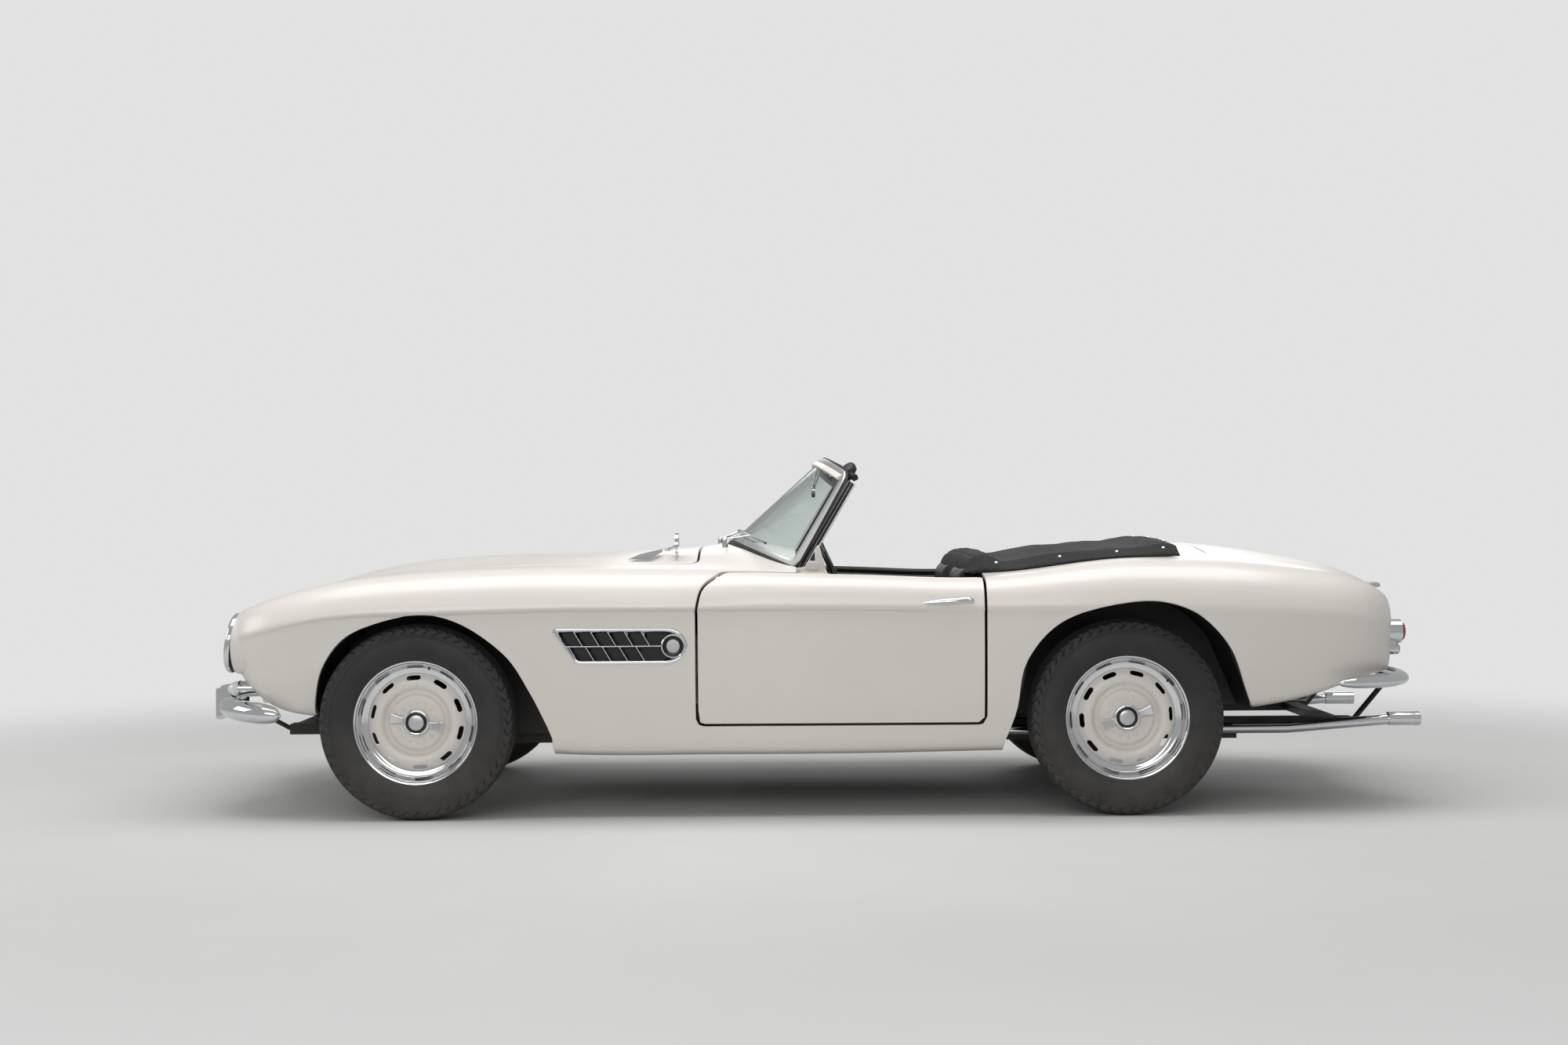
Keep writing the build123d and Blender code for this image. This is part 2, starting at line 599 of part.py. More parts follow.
def front_house(room):
    """Liner of a front arch with its inner wall, open where the suspension passes."""
    y0, y1 = -sy(arch_inner_y), -wide
    cap = arch_prism(FRONT_ARCH, front_axle_x, house_wall, y1, y0 + house_wall) & room
    cap = cap - arch_prism(FRONT_ARCH, front_axle_x, 0, y1 - 10, y0)
    x = front_axle_x
    cap = cap - block(x - 150, x + 150, y1, 0, 0, arm_z[1] + 25) - block(x - 800, x + 800, y1, 0, 0, 270)
    return largest(cap)


def rear_house(room):
    y0, y1 = -sy(arch_inner_y), -wide
    cap = arch_prism(REAR_ARCH, rear_axle_x, house_wall, y1, y0 + house_wall) & room
    cap = cap - arch_prism(REAR_ARCH, rear_axle_x, 0, y1 - 10, y0)
    x = rear_axle_x
    cap = cap - block(x - 70, x + 70, y1, 0, 0, axle_z + 60) - block(x - 800, x + 800, y1, 0, 0, 330)
    return largest(cap)


# ---------------------------------------------------------------- cockpit
steer_x, steer_y, steer_z = 92.0, -345.0, 812.0
wheel_ring, wheel_rod = 205.0, 10.0
shaft_radius, column_radius = 11.0, 24.0


def column_place():
    """The steering wheel's place: its own +Z runs up the column towards the driver."""
    tilt = radians(column_angle)
    return Plane(origin=(sx(steer_x), sy(steer_y), steer_z), z_dir=(cos(tilt), 0, sin(tilt)), x_dir=(0, 1, 0))


def make_steering_wheel():
    ring = Torus(wheel_ring, wheel_rod)
    hub = Pos(0, 0, -14) * Cylinder(34, 40)
    wheel = ring + hub + Pos(0, 0, -90) * Cylinder(shaft_radius, 140)
    for turn in (0, 120, 240):
        spoke = Rot(0, 0, turn + 90) * Pos(wheel_ring / 2, 0, -6) * Box(wheel_ring, 22, 7)
        wheel = wheel + spoke
    return column_place() * wheel


def make_column():
    tube = Pos(0, 0, -60 - 130) * Cylinder(column_radius, 260)
    bore = Pos(0, 0, -60 - 55) * Cylinder(shaft_radius + running_fit, 110 + 0.01)
    return column_place() * (tube - bore)


def make_dash(room):
    dash = room & block(sx(-125), sx(-62), -sy(685), sy(685), 650, high)
    return dash - column_place() * (Pos(0, 0, -200) * Cylinder(column_radius + seat_gap, 400))


def make_cushions():
    seat = block(sx(110), sx(520), -sy(590), -sy(125), floor_high + seat_gap, 470)
    seat = fillet(seat.edges().group_by(Axis.Z)[-1], 40)
    return both(seat)


def make_backs():
    outline = [(sx(520.5), floor_high + seat_gap), (sx(596), floor_high + seat_gap), (sx(596), 800),
               (sx(560), 880), (sx(530), 800)]
    back = side_polygon(outline, -sy(585), -sy(130))
    return both(back)


def make_tonneau():
    """The cover over the folded hood: a low dome that fills the well."""
    width, low = sy(well_y) - seat_gap, tub_top_z + seat_gap

    def section(x, edge_z, top_z):
        edges = [Line((x, -width, edge_z), (x, -width, low)), Line((x, -width, low), (x, width, low)),
                 Line((x, width, low), (x, width, edge_z)),
                 ThreePointArc((x, width, edge_z), (x, 0, top_z), (x, -width, edge_z))]
        return closed_face(edges)
    table = [(606, 852, 912), (700, 866, 902), (900, 886, 930), (1100, 904, 945), (1289, 904, 948)]
    stations = [section(sx(x), edge, top) for x, edge, top in table]
    return loft(stations)


# ---------------------------------------------------------------- windscreen
base_end, base_mid = (-78.0, 600.0, 868.0), (-300.0, 0.0, 958.0)
top_end, top_mid = (112.0, 575.0, 1190.0), (28.0, 0.0, 1254.0)
post_radius = 11.0


def screen_arc(end, mid):
    x, y, z = end
    return ThreePointArc((sx(x), -sy(y), z), (sx(mid[0]), 0, mid[2]), (sx(x), sy(y), z))


def glass_band(end, mid, thick=6.0):
    """A thin curved band in the plane of one edge of the windscreen."""
    (x0, y0, z0), (x1, _, z1) = (sx(end[0]), sy(end[1]), end[2]), (sx(mid[0]), 0, mid[2])
    length = ((x1 - x0) ** 2 + (z1 - z0) ** 2) ** 0.5
    dx, dz = (x0 - x1) / length * thick, (z0 - z1) / length * thick
    near = ThreePointArc((x0, -y0, z0), (x1, 0, z1), (x0, y0, z0))
    far = ThreePointArc((x0 + dx, y0, z0 + dz), (x1 + dx, 0, z1 + dz), (x0 + dx, -y0, z0 + dz))
    return closed_face([near, Line((x0, y0, z0), (x0 + dx, y0, z0 + dz)), far,
                        Line((x0 + dx, -y0, z0 + dz), (x0, -y0, z0))])


def make_windscreen(scuttle):
    glass = loft([glass_band(base_end, base_mid), glass_band(top_end, top_mid)])
    base, top = screen_arc(base_end, base_mid), screen_arc(top_end, top_mid)
    frame = bar(base, post_radius) + bar(top, post_radius)
    for k in (0, 1):
        frame = frame + bar(Line(base @ k, top @ k), post_radius)
        frame = frame + Pos(base @ k) * Sphere(post_radius) + Pos(top @ k) * Sphere(post_radius)
    frame = frame - glass - scuttle
    return largest(frame), largest(glass - scuttle)


# ---------------------------------------------------------------- bright parts
def make_lamps():
    """Headlamp bodies with their rings, and the lenses in front."""
    x = sx(-2062)
    body = along_x(lamp_radius, x, sx(-1991), -sy(lamp_y), lamp_z)
    ring = Pos(x - 12, -sy(lamp_y), lamp_z) * Rot(0, -90, 0) * Cone(lamp_radius, lamp_radius - 12, 24)
    ring = body + ring
    seat = along_x(lamp_radius - 14, x - 60, x - 8, -sy(lamp_y), lamp_z)
    dome = Pos(x + 118, -sy(lamp_y), lamp_z) * Sphere(158)
    lens = dome & along_x(lamp_radius - 14.5, x - 80, x - 8.5, -sy(lamp_y), lamp_z)
    return both(ring - seat), both(lens)


def make_grilles():
    """A wide oval surround with upright bars, one each side of the middle."""
    hole = grille_prism(-seat_gap, sx(-2170), sx(-2056))
    ring = hole - grille_prism(-8, sx(-2300), sx(-2000))
    left, right = -sy(grille_y[1]), -sy(grille_y[0])
    count = 14
    for k in range(1, count):
        y = left + (right - left) * k / count
        ring = ring + (hole & block(sx(-2082), sx(-2066), y - 2, y + 2, 400, 700))
    return ring


def make_front_bumper():
    """Blade with its overrider and bracket to the frame, left side."""
    z = 380.0
    path = ThreePointArc((sx(-2150), -200, z), (sx(-2130), -470, z), (sx(-1990), -sy(700), z))
    blade = sweep(Plane(origin=path @ 0, x_dir=(0, 0, 1), z_dir=path % 0) * Ellipse(36, 11), path=path)
    x, y = -overall_length / 2 + 28, -rail_mid
    rider = Pos(x, y, z) * Sphere(28) + Pos(x, y, z - 55) * Sphere(28) + Pos(x, y, z - 27.5) * Cylinder(28, 55)
    root = sx(rail_x[0]) - seat_gap
    y, low = -rail_mid, horn_low + 19
    bracket = along_x(14, root, root - 25, y, low) + bar(Line((root - 20, y, low), (sx(-2165), y, z)), 14)
    return blade + rider + bracket


def make_rear_bumper():
    z = 425.0
    path = ThreePointArc((sx(2140), -230, z), (sx(2110), -500, z), (sx(1930), -sy(725), z))
    blade = sweep(Plane(origin=path @ 0, x_dir=(0, 0, 1), z_dir=path % 0) * Ellipse(28, 11), path=path)
    root = sx(rail_x[1]) + seat_gap
    y, low = -rail_mid, horn_low + 19
    bracket = along_x(14, root, root + 25, y, low) + bar(Line((root + 20, y, low), (sx(2133), y, z)), 14)
    return blade + bracket


def make_exhaust():
    """A pipe from the engine to its flared tip, with a hanger on the frame, left side."""
    y, z = -sy(430), 268.0
    pipe = along_x(pipe_radius, sx(-800), sx(1730), y, z)
    bend = (sx(1730), y, z)
    tip = (overall_length / 2 - 90, y, z + 30)
    pipe = pipe + Pos(bend) * Sphere(pipe_radius) + bar(Line(bend, tip), pipe_radius)
    pipe = pipe + along_x(pipe_radius + 6, overall_length / 2 - 110, overall_length / 2, y, z + 31)
    for x in (sx(-200), sx(1660)):
        pipe = pipe + block(x - 12, x + 12, y, -rail_y[1] - seat_gap, z - 8, z + 8)
    return pipe


def make_engine():
    """One block for the closed engine and gearbox bell."""
    return block(sx(-1460), sx(-840), -190, 190, floor_low - 4, 700)


def make_side_vent():
    """Frame, upright gills and a bar in the side of the wing, left side."""
    y0, y1 = -sy(822), -sy(770)
    frame = vent_prism(-seat_gap * 2, y0, y1) - vent_prism(-9, y0 - 1, y1 + 8)
    x0, x1 = sx(VENT[0][0]) + 60, sx(VENT[1][0])
    for k in range(7):
        x = x0 + (x1 - x0) * k / 6
        gill = side_polygon([(x, 549), (x + 5, 549), (x - 25, 662), (x - 30, 662)], y0 + 8, y1)
        frame = frame + (gill & vent_prism(-seat_gap * 2 - 1, y0, y1))
    bar_z = (VENT[0][1] + VENT[2][1]) / 2
    frame = frame + (block(x0 - 60, x1 + 60, y0 + 3, y0 + 13, bar_z - 6, bar_z + 6) & vent_prism(-3, y0, y1))
    boss = along_y(38, sx(-530), y0 - 2, y0 + 14, bar_z)
    return frame + boss


def make_tail_lamps(tail):
    """A round lamp over a small reflector, each in its ring, left side."""
    x, y, z = sx(2128), -sy(490), 622
    ring = along_x(43, sx(2000), x, y, z) + along_x(20, sx(2000), x - 8, y, z - 64)
    ring = ring + block(sx(2000), x - 18, y - 14, y + 14, z - 64, z)
    seat = along_x(36, x - 10, x + 10, y, z) + along_x(15, x - 14, x + 10, y, z - 64)
    dome = along_x(35.5, x - 9.7, x + 14, y, z)
    dome = fillet(dome.edges().group_by(Axis.X)[-1], 12)
    small = along_x(14.5, x - 13.7, x - 4, y, z - 64)
    return both(largest(ring - seat - tail)), both(dome) + both(small)


def make_door_handle(door):
    """A teardrop pull on two feet over its plate, with the push button at the rear, left side."""
    y, z = -sy(812), 757.0
    plate = side_polygon([(sx(378), z - 3), (sx(541), z - 14), (sx(541), z + 14), (sx(378), z + 3)], y + 4, y + 30)
    plate = plate + along_y(15, sx(541), y + 2, y + 30, z)
    pull = side_polygon([(sx(382), z - 3), (sx(520), z - 10), (sx(520), z + 10), (sx(382), z + 3)], y - 15, y - 6)
    feet = along_y(5, sx(398), y - 8, y + 30, z) + along_y(7, sx(512), y - 8, y + 30, z)
    return largest(plate + pull + feet + along_y(10, sx(541), y - 7, y + 3, z) - door)


def make_wing_mirror(bonnet):
    """A round mirror on a short arm, on the left of the bonnet."""
    x, y, z = sx(-528), -sy(450), 932.0
    foot = Pos(x, y, z - 15) * Cylinder(13, 30)
    arm = bar(Line((x, y, z), (x + 34, y - 68, z + 17)), 5)
    head = along_x(47, x + 32, x + 44, y - 72, z + 19)
    return largest(foot + Pos(x, y, z) * Sphere(8) + arm + head - bonnet)


def make_bonnet_vents(bonnet):
    """A fin-shaped vent frame lying on each side of the bonnet."""
    raised = bonnet.moved(Location((0, 0, 5)))
    outline = [(-700, 872), (-592, 872), (-598, 900), (-546, 926), (-546, 938), (-626, 920), (-704, 884)]
    fin = side_polygon([(sx(x), z) for x, z in outline], -sy(600), -sy(420))
    return both(largest((fin & raised) - bonnet))


def make_boot_handle(lid):
    """The handle and plate lamp on the rear of the boot lid."""
    handle = block(sx(2120), sx(2186), -60, 60, 764, 786)
    handle = fillet(handle.edges().filter_by(Axis.Z).group_by(Axis.X)[-1], 20)
    return largest(handle - lid)


def make_interior_mirror(frame, glass):
    """The driving mirror, hung from the middle of the windscreen's top rail."""
    x, z = sx(9), 1150.0
    head = fillet(block(x - 5, x + 8, -95, 95, z - 23, z + 23).edges().filter_by(Axis.X), 20)
    return largest(head + bar(Line((x + 2, 0, z + 20), (sx(top_mid[0]) - 1, 0, top_mid[2] - 5)), 5) - frame - glass)


# wiper pivots: station and distance from the centre plane
WIPERS = [(-322, -330), (-352, 110)]


def on_glass(y, up, lift):
    """A point in front of the glass, up from its foot at a given y."""
    (x0, y0, z0), (x1, _, z1), (x2, _, z2) = base_end, base_mid, top_mid
    rise = ((x0 - x1) ** 2 + (z1 - z0) ** 2) ** 0.5
    radius = (y0 ** 2 + rise ** 2) / (2 * rise)
    share = (radius - (radius ** 2 - y ** 2) ** 0.5) / rise
    length = ((x2 - x1) ** 2 + (z2 - z1) ** 2) ** 0.5
    ahead, high_up = (x2 - x1) / length, (z2 - z1) / length
    x = x1 + (x0 - x1) * share + ahead * up - high_up * lift
    return (sx(x), sy(y), z1 + (z0 - z1) * share + high_up * up + ahead * lift)


def make_wipers(scuttle, frame, glass):
    """Two wipers at rest along the foot of the glass, each on its pivot in the scuttle."""
    wipers = []
    for x, y in WIPERS:
        top = (sx(x), sy(y), 968.0)
        ends = [on_glass(y + 30 + side, 44, 17) for side in (-135, 135)]
        middle = on_glass(y + 30, 44, 21)
        wiper = Pos(top[0], top[1], 945) * Cylinder(11, 46) + bar(Line(top, middle), 4.5)
        wiper = wiper + Pos(top) * Sphere(11) + bar(ThreePointArc(ends[0], middle, ends[1]), 4.5)
        wipers.append(largest(wiper - scuttle - frame - glass))
    return wipers[0] + wipers[1]


def main():
    os.makedirs("parts", exist_ok=True)
    save("nose_panel", make_nose())
    wing = make_front_wing()
    save("front_wings", both(wing))
    bonnet = make_bonnet()
    save("bonnet", bonnet)
    save("bonnet_vents", make_bonnet_vents(bonnet))
    save("wing_mirror", make_wing_mirror(bonnet))
    scuttle = make_scuttle()
    save("scuttle", scuttle)
    room = under_cowl()
    save("bulkhead", make_bulkhead(room))
    save("dashboard", make_dash(room))
    rear_wing = make_rear_wing()
    save("rear_wings", both(rear_wing))
    save("rear_deck", make_rear_deck())
    whole_tail, tail, lip = make_tail()
    save("tail_panel", tail)
    lamp_rings, lamps = make_tail_lamps(whole_tail)
    save("tail_lamp_rings", lamp_rings)
    save("tail_lamps", lamps)
    boot_lid = make_boot_lid(lip)
    save("boot_lid", boot_lid)
    save("boot_handle", make_boot_handle(boot_lid))
    slab = make_slab()
    door = make_door(slab)
    save("door_left", door)
    save("door_right", mirrored(door))
    handle = make_door_handle(door)
    save("door_handle_left", handle)
    save("door_handle_right", mirrored(handle))
    save("sills", both(make_sill(slab)))
    front_room = loft([solid_section(row, skin + seat_gap) for row in rows(nose_x, wing_rear_x)])
    rear_room = loft([solid_section(row, skin + seat_gap) for row in rows(601, tail_x)])
    save("front_arch_liners", both(front_house(front_room)))
    save("rear_arch_liners", both(rear_house(rear_room)))
    save_wheels()
    save("chassis_frame", make_frame())
    save("front_suspension", both(make_front_suspension()))
    knuckle = make_knuckle()
    save("knuckle_left", knuckle)
    save("knuckle_right", mirrored(knuckle))
    save("rear_axle", make_rear_axle())
    save("floor_pan", make_floor())
    save("rear_tub", make_rear_tub(rear_room))
    save("steering_wheel", make_steering_wheel())
    save("steering_column", make_column())
    save("seat_cushions", make_cushions())
    save("seat_backs", make_backs())
    save("tonneau_cover", make_tonneau())
    frame, glass = make_windscreen(scuttle)
    save("windscreen_frame", frame)
    save("windscreen_glass", glass)
    save("interior_mirror", make_interior_mirror(frame, glass))
    save("wipers", make_wipers(scuttle, frame, glass))
    rings, lenses = make_lamps()
    save("headlamp_rings", rings)
    save("headlamp_lenses", lenses)
    save("front_grilles", both(make_grilles()))
    save("front_bumpers", both(make_front_bumper()))
    save("rear_bumpers", both(make_rear_bumper()))
    save("engine", make_engine())
    save("side_vents", both(make_side_vent()))
    save("exhaust", both(make_exhaust()))


main()
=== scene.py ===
# %% [markdown]
# # An open roadster, dressed for its portrait
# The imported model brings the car's panels, wheels and hinges at their real size. This file gives each of them the
# surface that a coachbuilder would: a skin that flows over the shut lines, enamel, chrome, cloth and leather. It works
# in metres, with the nose along -X, the car's left side at -Y and the ground at Z 0.

import math
import bmesh
import bpy
import numpy as np
from mathutils import Matrix, Vector
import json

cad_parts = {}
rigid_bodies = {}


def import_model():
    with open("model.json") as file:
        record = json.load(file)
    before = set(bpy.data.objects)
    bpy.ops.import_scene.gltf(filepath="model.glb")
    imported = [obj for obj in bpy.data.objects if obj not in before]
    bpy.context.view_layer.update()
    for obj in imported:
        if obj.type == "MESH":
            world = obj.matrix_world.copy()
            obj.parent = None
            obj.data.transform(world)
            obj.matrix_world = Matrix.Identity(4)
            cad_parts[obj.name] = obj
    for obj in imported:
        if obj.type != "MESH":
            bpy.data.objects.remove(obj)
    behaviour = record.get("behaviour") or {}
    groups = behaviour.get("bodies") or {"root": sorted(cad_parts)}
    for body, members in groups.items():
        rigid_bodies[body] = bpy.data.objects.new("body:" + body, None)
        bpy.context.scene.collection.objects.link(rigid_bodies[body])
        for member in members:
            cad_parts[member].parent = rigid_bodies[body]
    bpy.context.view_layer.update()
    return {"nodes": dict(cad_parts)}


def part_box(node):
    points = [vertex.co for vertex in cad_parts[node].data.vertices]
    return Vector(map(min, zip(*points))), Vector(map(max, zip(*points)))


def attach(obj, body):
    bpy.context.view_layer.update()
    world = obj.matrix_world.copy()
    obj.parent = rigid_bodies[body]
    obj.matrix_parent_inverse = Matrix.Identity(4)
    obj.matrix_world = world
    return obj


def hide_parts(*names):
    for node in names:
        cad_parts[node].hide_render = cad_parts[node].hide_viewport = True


for leftover in list(bpy.data.objects):
    bpy.data.objects.remove(leftover)
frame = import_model()

# %% [markdown]
# ## Finishes
# Each finish is built from a few shared effects: a slow mottle in the colour, orange peel in the enamel, the grain of
# leather, the weave of cloth, polishing marks in metal and the film of dust that the road leaves low down. An effect
# is a node group that gives only a mask or a normal. The shader itself stays in the material with its constants
# beside it, so a finish can be repainted without opening a group.

# %% Shared effects


def effect(name, gives, **numbers):
    """A node group that takes a place and some numbers: the group, what it is given and the socket to fill."""
    group = bpy.data.node_groups.new(name, "ShaderNodeTree")
    group.interface.new_socket("Vector", in_out="INPUT", socket_type="NodeSocketVector")
    for label, number in numbers.items():
        socket = group.interface.new_socket(label, in_out="INPUT", socket_type="NodeSocketFloat")
        socket.default_value = number
    kind = "NodeSocketVector" if gives == "Normal" else "NodeSocketFloat"
    group.interface.new_socket(gives, in_out="OUTPUT", socket_type=kind)
    return group, group.nodes.new("NodeGroupInput").outputs, group.nodes.new("NodeGroupOutput").inputs[gives]


def add(tree, kind, inputs=None, **settings):
    """Adds a node, gives each input, by name or number, a value or a link, and returns the node's outputs."""
    node = tree.nodes.new("ShaderNode" + kind)
    for key, value in settings.items():
        setattr(node, key, value)
    for socket, value in (inputs or {}).items():
        if isinstance(value, bpy.types.NodeSocket):
            tree.links.new(value, node.inputs[socket])
        else:
            node.inputs[socket].default_value = value
    return node.outputs


def textured(given, **values):
    """The inputs of a texture that takes its place and its scale from the group."""
    return {"Vector": given["Vector"], "Scale": given["Scale"], **values}


def emboss(tree, given, normal, height, reach):
    """Turns a height into the group's normal, by as much as its strength."""
    bump = add(tree, "Bump", {"Height": height, "Strength": given["Strength"], "Distance": reach})
    tree.links.new(bump["Normal"], normal)


mottle, given, mask = effect("mottle", "Mask", Scale=4.0)
noise = add(mottle, "TexNoise", textured(given, Detail=5.0, Roughness=0.6))
spread = add(mottle, "MapRange", {"Value": noise["Fac"], "From Min": 0.15, "From Max": 0.85},
             interpolation_type="SMOOTHSTEP")
mottle.links.new(spread["Result"], mask)

peel, given, normal = effect("orange_peel", "Normal", Scale=160.0, Strength=0.05)
fine = add(peel, "TexNoise", textured(given, Detail=2.0))
emboss(peel, given, normal, fine["Fac"], 0.0006)

grain, given, normal = effect("leather_grain", "Normal", Scale=380.0, Strength=0.5)
cells = add(grain, "TexVoronoi", textured(given), feature="DISTANCE_TO_EDGE")
crease = add(grain, "MapRange", {"Value": cells["Distance"], "From Max": 0.22})
emboss(grain, given, normal, crease["Result"], 0.0009)

weave, given, normal = effect("weave", "Normal", Scale=260.0, Strength=0.6)
warp = add(weave, "TexWave", textured(given, Distortion=0.6), bands_direction="X")
weft = add(weave, "TexWave", textured(given, Distortion=0.6), bands_direction="Y")
cross = add(weave, "Math", {0: warp["Fac"], 1: weft["Fac"]}, operation="MULTIPLY")
emboss(weave, given, normal, cross["Value"], 0.0008)

polish, given, normal = effect("polishing_marks", "Normal", Scale=30.0, Strength=0.05)
stretch = add(polish, "Mapping", {"Vector": given["Vector"], "Scale": (1.0, 1.0, 14.0)})
marks = add(polish, "TexNoise", {"Vector": stretch["Vector"], "Scale": given["Scale"], "Detail": 6.0,
                                 "Roughness": 0.7})
emboss(polish, given, normal, marks["Fac"], 0.0005)

road, given, mask = effect("road_film", "Mask", Height=0.45)
height = add(road, "SeparateXYZ", {"Vector": given["Vector"]})["Z"]
low = add(road, "MapRange", {"Value": height, "From Min": given["Height"], "From Max": 0.0})
speck = add(road, "TexNoise", {"Vector": given["Vector"], "Scale": 22.0, "Detail": 8.0})
film = add(road, "Math", {0: low["Result"], 1: speck["Fac"]}, operation="MULTIPLY", use_clamp=True)
road.links.new(film["Value"], mask)
print("shared effects:", [g.name for g in bpy.data.node_groups if g.type == "SHADER"])

# %% The finishes


def srgb(r, g, b):
    """A linear colour from the usual 0 to 255 numbers."""
    return tuple(c / 255 / 12.92 if c <= 10 else ((c / 255 + 0.055) / 1.055) ** 2.4 for c in (r, g, b)) + (1.0,)


def blank_material(name):
    """A new material and its nodes."""
    made = bpy.data.materials.new(name)
    made.use_nodes = True
    return made, made.node_tree


ROAD_DUST = srgb(120, 112, 100)


def finish(name, colour, second, rough, metal=0.0, relief=None, relief_scale=None, strength=None, dust=0.0, mottled=4.0,
           **shader):
    """A material from one opaque shader, two colours, a roughness range, a relief effect and some road dust."""
    made, tree = blank_material(name)
    skin = tree.nodes["Principled BSDF"].inputs
    where = add(tree, "TexCoord")["Object"]
    cloud = add(tree, "Group", {"Vector": where, "Scale": mottled}, node_tree=mottle)["Mask"]
    shown = add(tree, "Mix", {"Factor": cloud, 6: srgb(*colour), 7: srgb(*second)}, data_type="RGBA")[2]
    if dust:
        film = add(tree, "Group", {"Vector": where}, node_tree=road)["Mask"]
        amount = add(tree, "Math", {0: film, 1: dust}, operation="MULTIPLY")["Value"]
        shown = add(tree, "Mix", {"Factor": amount, 6: shown, 7: ROAD_DUST}, data_type="RGBA")[2]
    tree.links.new(shown, skin["Base Color"])
    sheen = add(tree, "MapRange", {"Value": cloud, "To Min": rough[0], "To Max": rough[1]})
    tree.links.new(sheen["Result"], skin["Roughness"])
    if relief:
        asked = {"Scale": relief_scale, "Strength": strength}
        pattern = add(tree, "Group", {"Vector": where, **{k: v for k, v in asked.items() if v}}, node_tree=relief)
        tree.links.new(pattern["Normal"], skin["Normal"])
    skin["Metallic"].default_value = metal
    for socket, value in shader.items():
        skin[socket.replace("_", " ")].default_value = value
    return made


CREAM, CREAM_DEEP = (224, 219, 213), (218, 212, 205)
enamel = finish("cream_enamel", CREAM, CREAM_DEEP, (0.32, 0.38), relief=peel, strength=0.04, dust=0.15, mottled=1.5,
                Coat_Weight=0.6, Coat_Roughness=0.22)
wheel_enamel = finish("wheel_enamel", CREAM, CREAM_DEEP, (0.24, 0.32), relief=peel, strength=0.05, dust=0.25)
chrome = finish("bright_chrome", (226, 228, 230), (214, 216, 219), (0.04, 0.09), 1.0, relief=polish, strength=0.03)
alloy = finish("polished_alloy", (205, 205, 205), (192, 192, 193), (0.34, 0.42), 1.0, relief=polish)
black_steel = finish("black_chassis", (30, 30, 31), (20, 20, 21), (0.42, 0.6), relief=peel, strength=0.4, dust=0.6)
finish("cast_engine", (128, 130, 130), (98, 100, 100), (0.45, 0.6), 0.8, relief=peel, relief_scale=90.0, strength=0.7)
rubber = finish("tread_rubber", (38, 38, 39), (27, 27, 28), (0.52, 0.68), relief=peel, relief_scale=420.0,
                strength=0.5, dust=0.35, mottled=9.0)
# one black for the rubber seals, beads and valve; the same black also paints the shade behind the grilles and vents, in
# the bracket windows and in the pipe mouths
rubber_and_shade_black = finish("black_rubber_and_painted_shade", (22, 22, 23), (15, 15, 16), (0.42, 0.55), relief=peel, strength=0.3)
leather = finish("grained_leather", (30, 29, 30), (21, 20, 21), (0.34, 0.48), relief=grain, strength=0.35)
crash_roll = finish("black_hide", (27, 26, 27), (20, 19, 20), (0.32, 0.42), relief=grain, strength=0.3)
cloth = finish("hood_cloth", (38, 38, 40), (26, 26, 28), (0.72, 0.88), relief=weave, strength=0.5)
carpet = finish("loop_carpet", (34, 33, 34), (20, 20, 20), (0.85, 0.97), relief=peel, relief_scale=600.0,
                strength=1.0, mottled=30.0)
plastic = finish("gloss_plastic", (18, 18, 19), (13, 13, 14), (0.16, 0.26), relief=peel, strength=0.1)
dial = finish("dial_face", (14, 14, 15), (10, 10, 11), (0.35, 0.45))
print("finishes:", len(bpy.data.materials))

# %% Glass


def glassy(name, colour, density, rough=0.02):
    """Thin glass: seen through straight ahead, mirror-like at a glancing angle."""
    made, tree = blank_material(name)
    tree.nodes.remove(tree.nodes["Principled BSDF"])
    where = add(tree, "TexCoord")["Object"]
    wipe = add(tree, "Group", {"Vector": where}, node_tree=mottle)["Mask"]
    haze = add(tree, "MapRange", {"Value": wipe, "To Min": rough, "To Max": rough * 3})["Result"]
    through = add(tree, "BsdfTransparent", {"Color": colour})[0]
    mirror = add(tree, "BsdfGlossy", {"Roughness": haze})[0]
    facing_away = add(tree, "LayerWeight", {"Blend": 0.5})["Facing"]
    steep = add(tree, "Math", {0: facing_away, 1: 5.0}, operation="POWER")["Value"]
    share = add(tree, "Math", {0: steep, 1: 0.8, 2: density}, operation="MULTIPLY_ADD")["Value"]
    both_ways = add(tree, "MixShader", {0: share, 1: through, 2: mirror})[0]
    tree.links.new(both_ways, tree.nodes["Material Output"].inputs["Surface"])
    return made


window_glass = glassy("window_glass", (0.90, 0.93, 0.92, 1), 0.02)
lamp_glass = glassy("fluted_glass", (0.93, 0.94, 0.94, 1), 0.05, 0.05)
red_lens = finish("ruby_lens", (150, 12, 10), (120, 8, 8), (0.08, 0.14), Coat_Weight=0.8)
white_lens = finish("white_lens", (226, 226, 222), (212, 212, 208), (0.10, 0.16), Coat_Weight=0.8)
print("glass ready")

# %% [markdown]
# ## The body's form as a table of sections
# A body designer draws a car as sections across it. Each row here is one section: how high and wide the foot of the
# flank, the waist line, the crown of the wing, the ridge of the bonnet and the centre line are. A cubic spline through
# the rows gives every section between them, so the light runs along the car without a break. A subdivision cage could
# give the same form, but a table keeps every size readable.

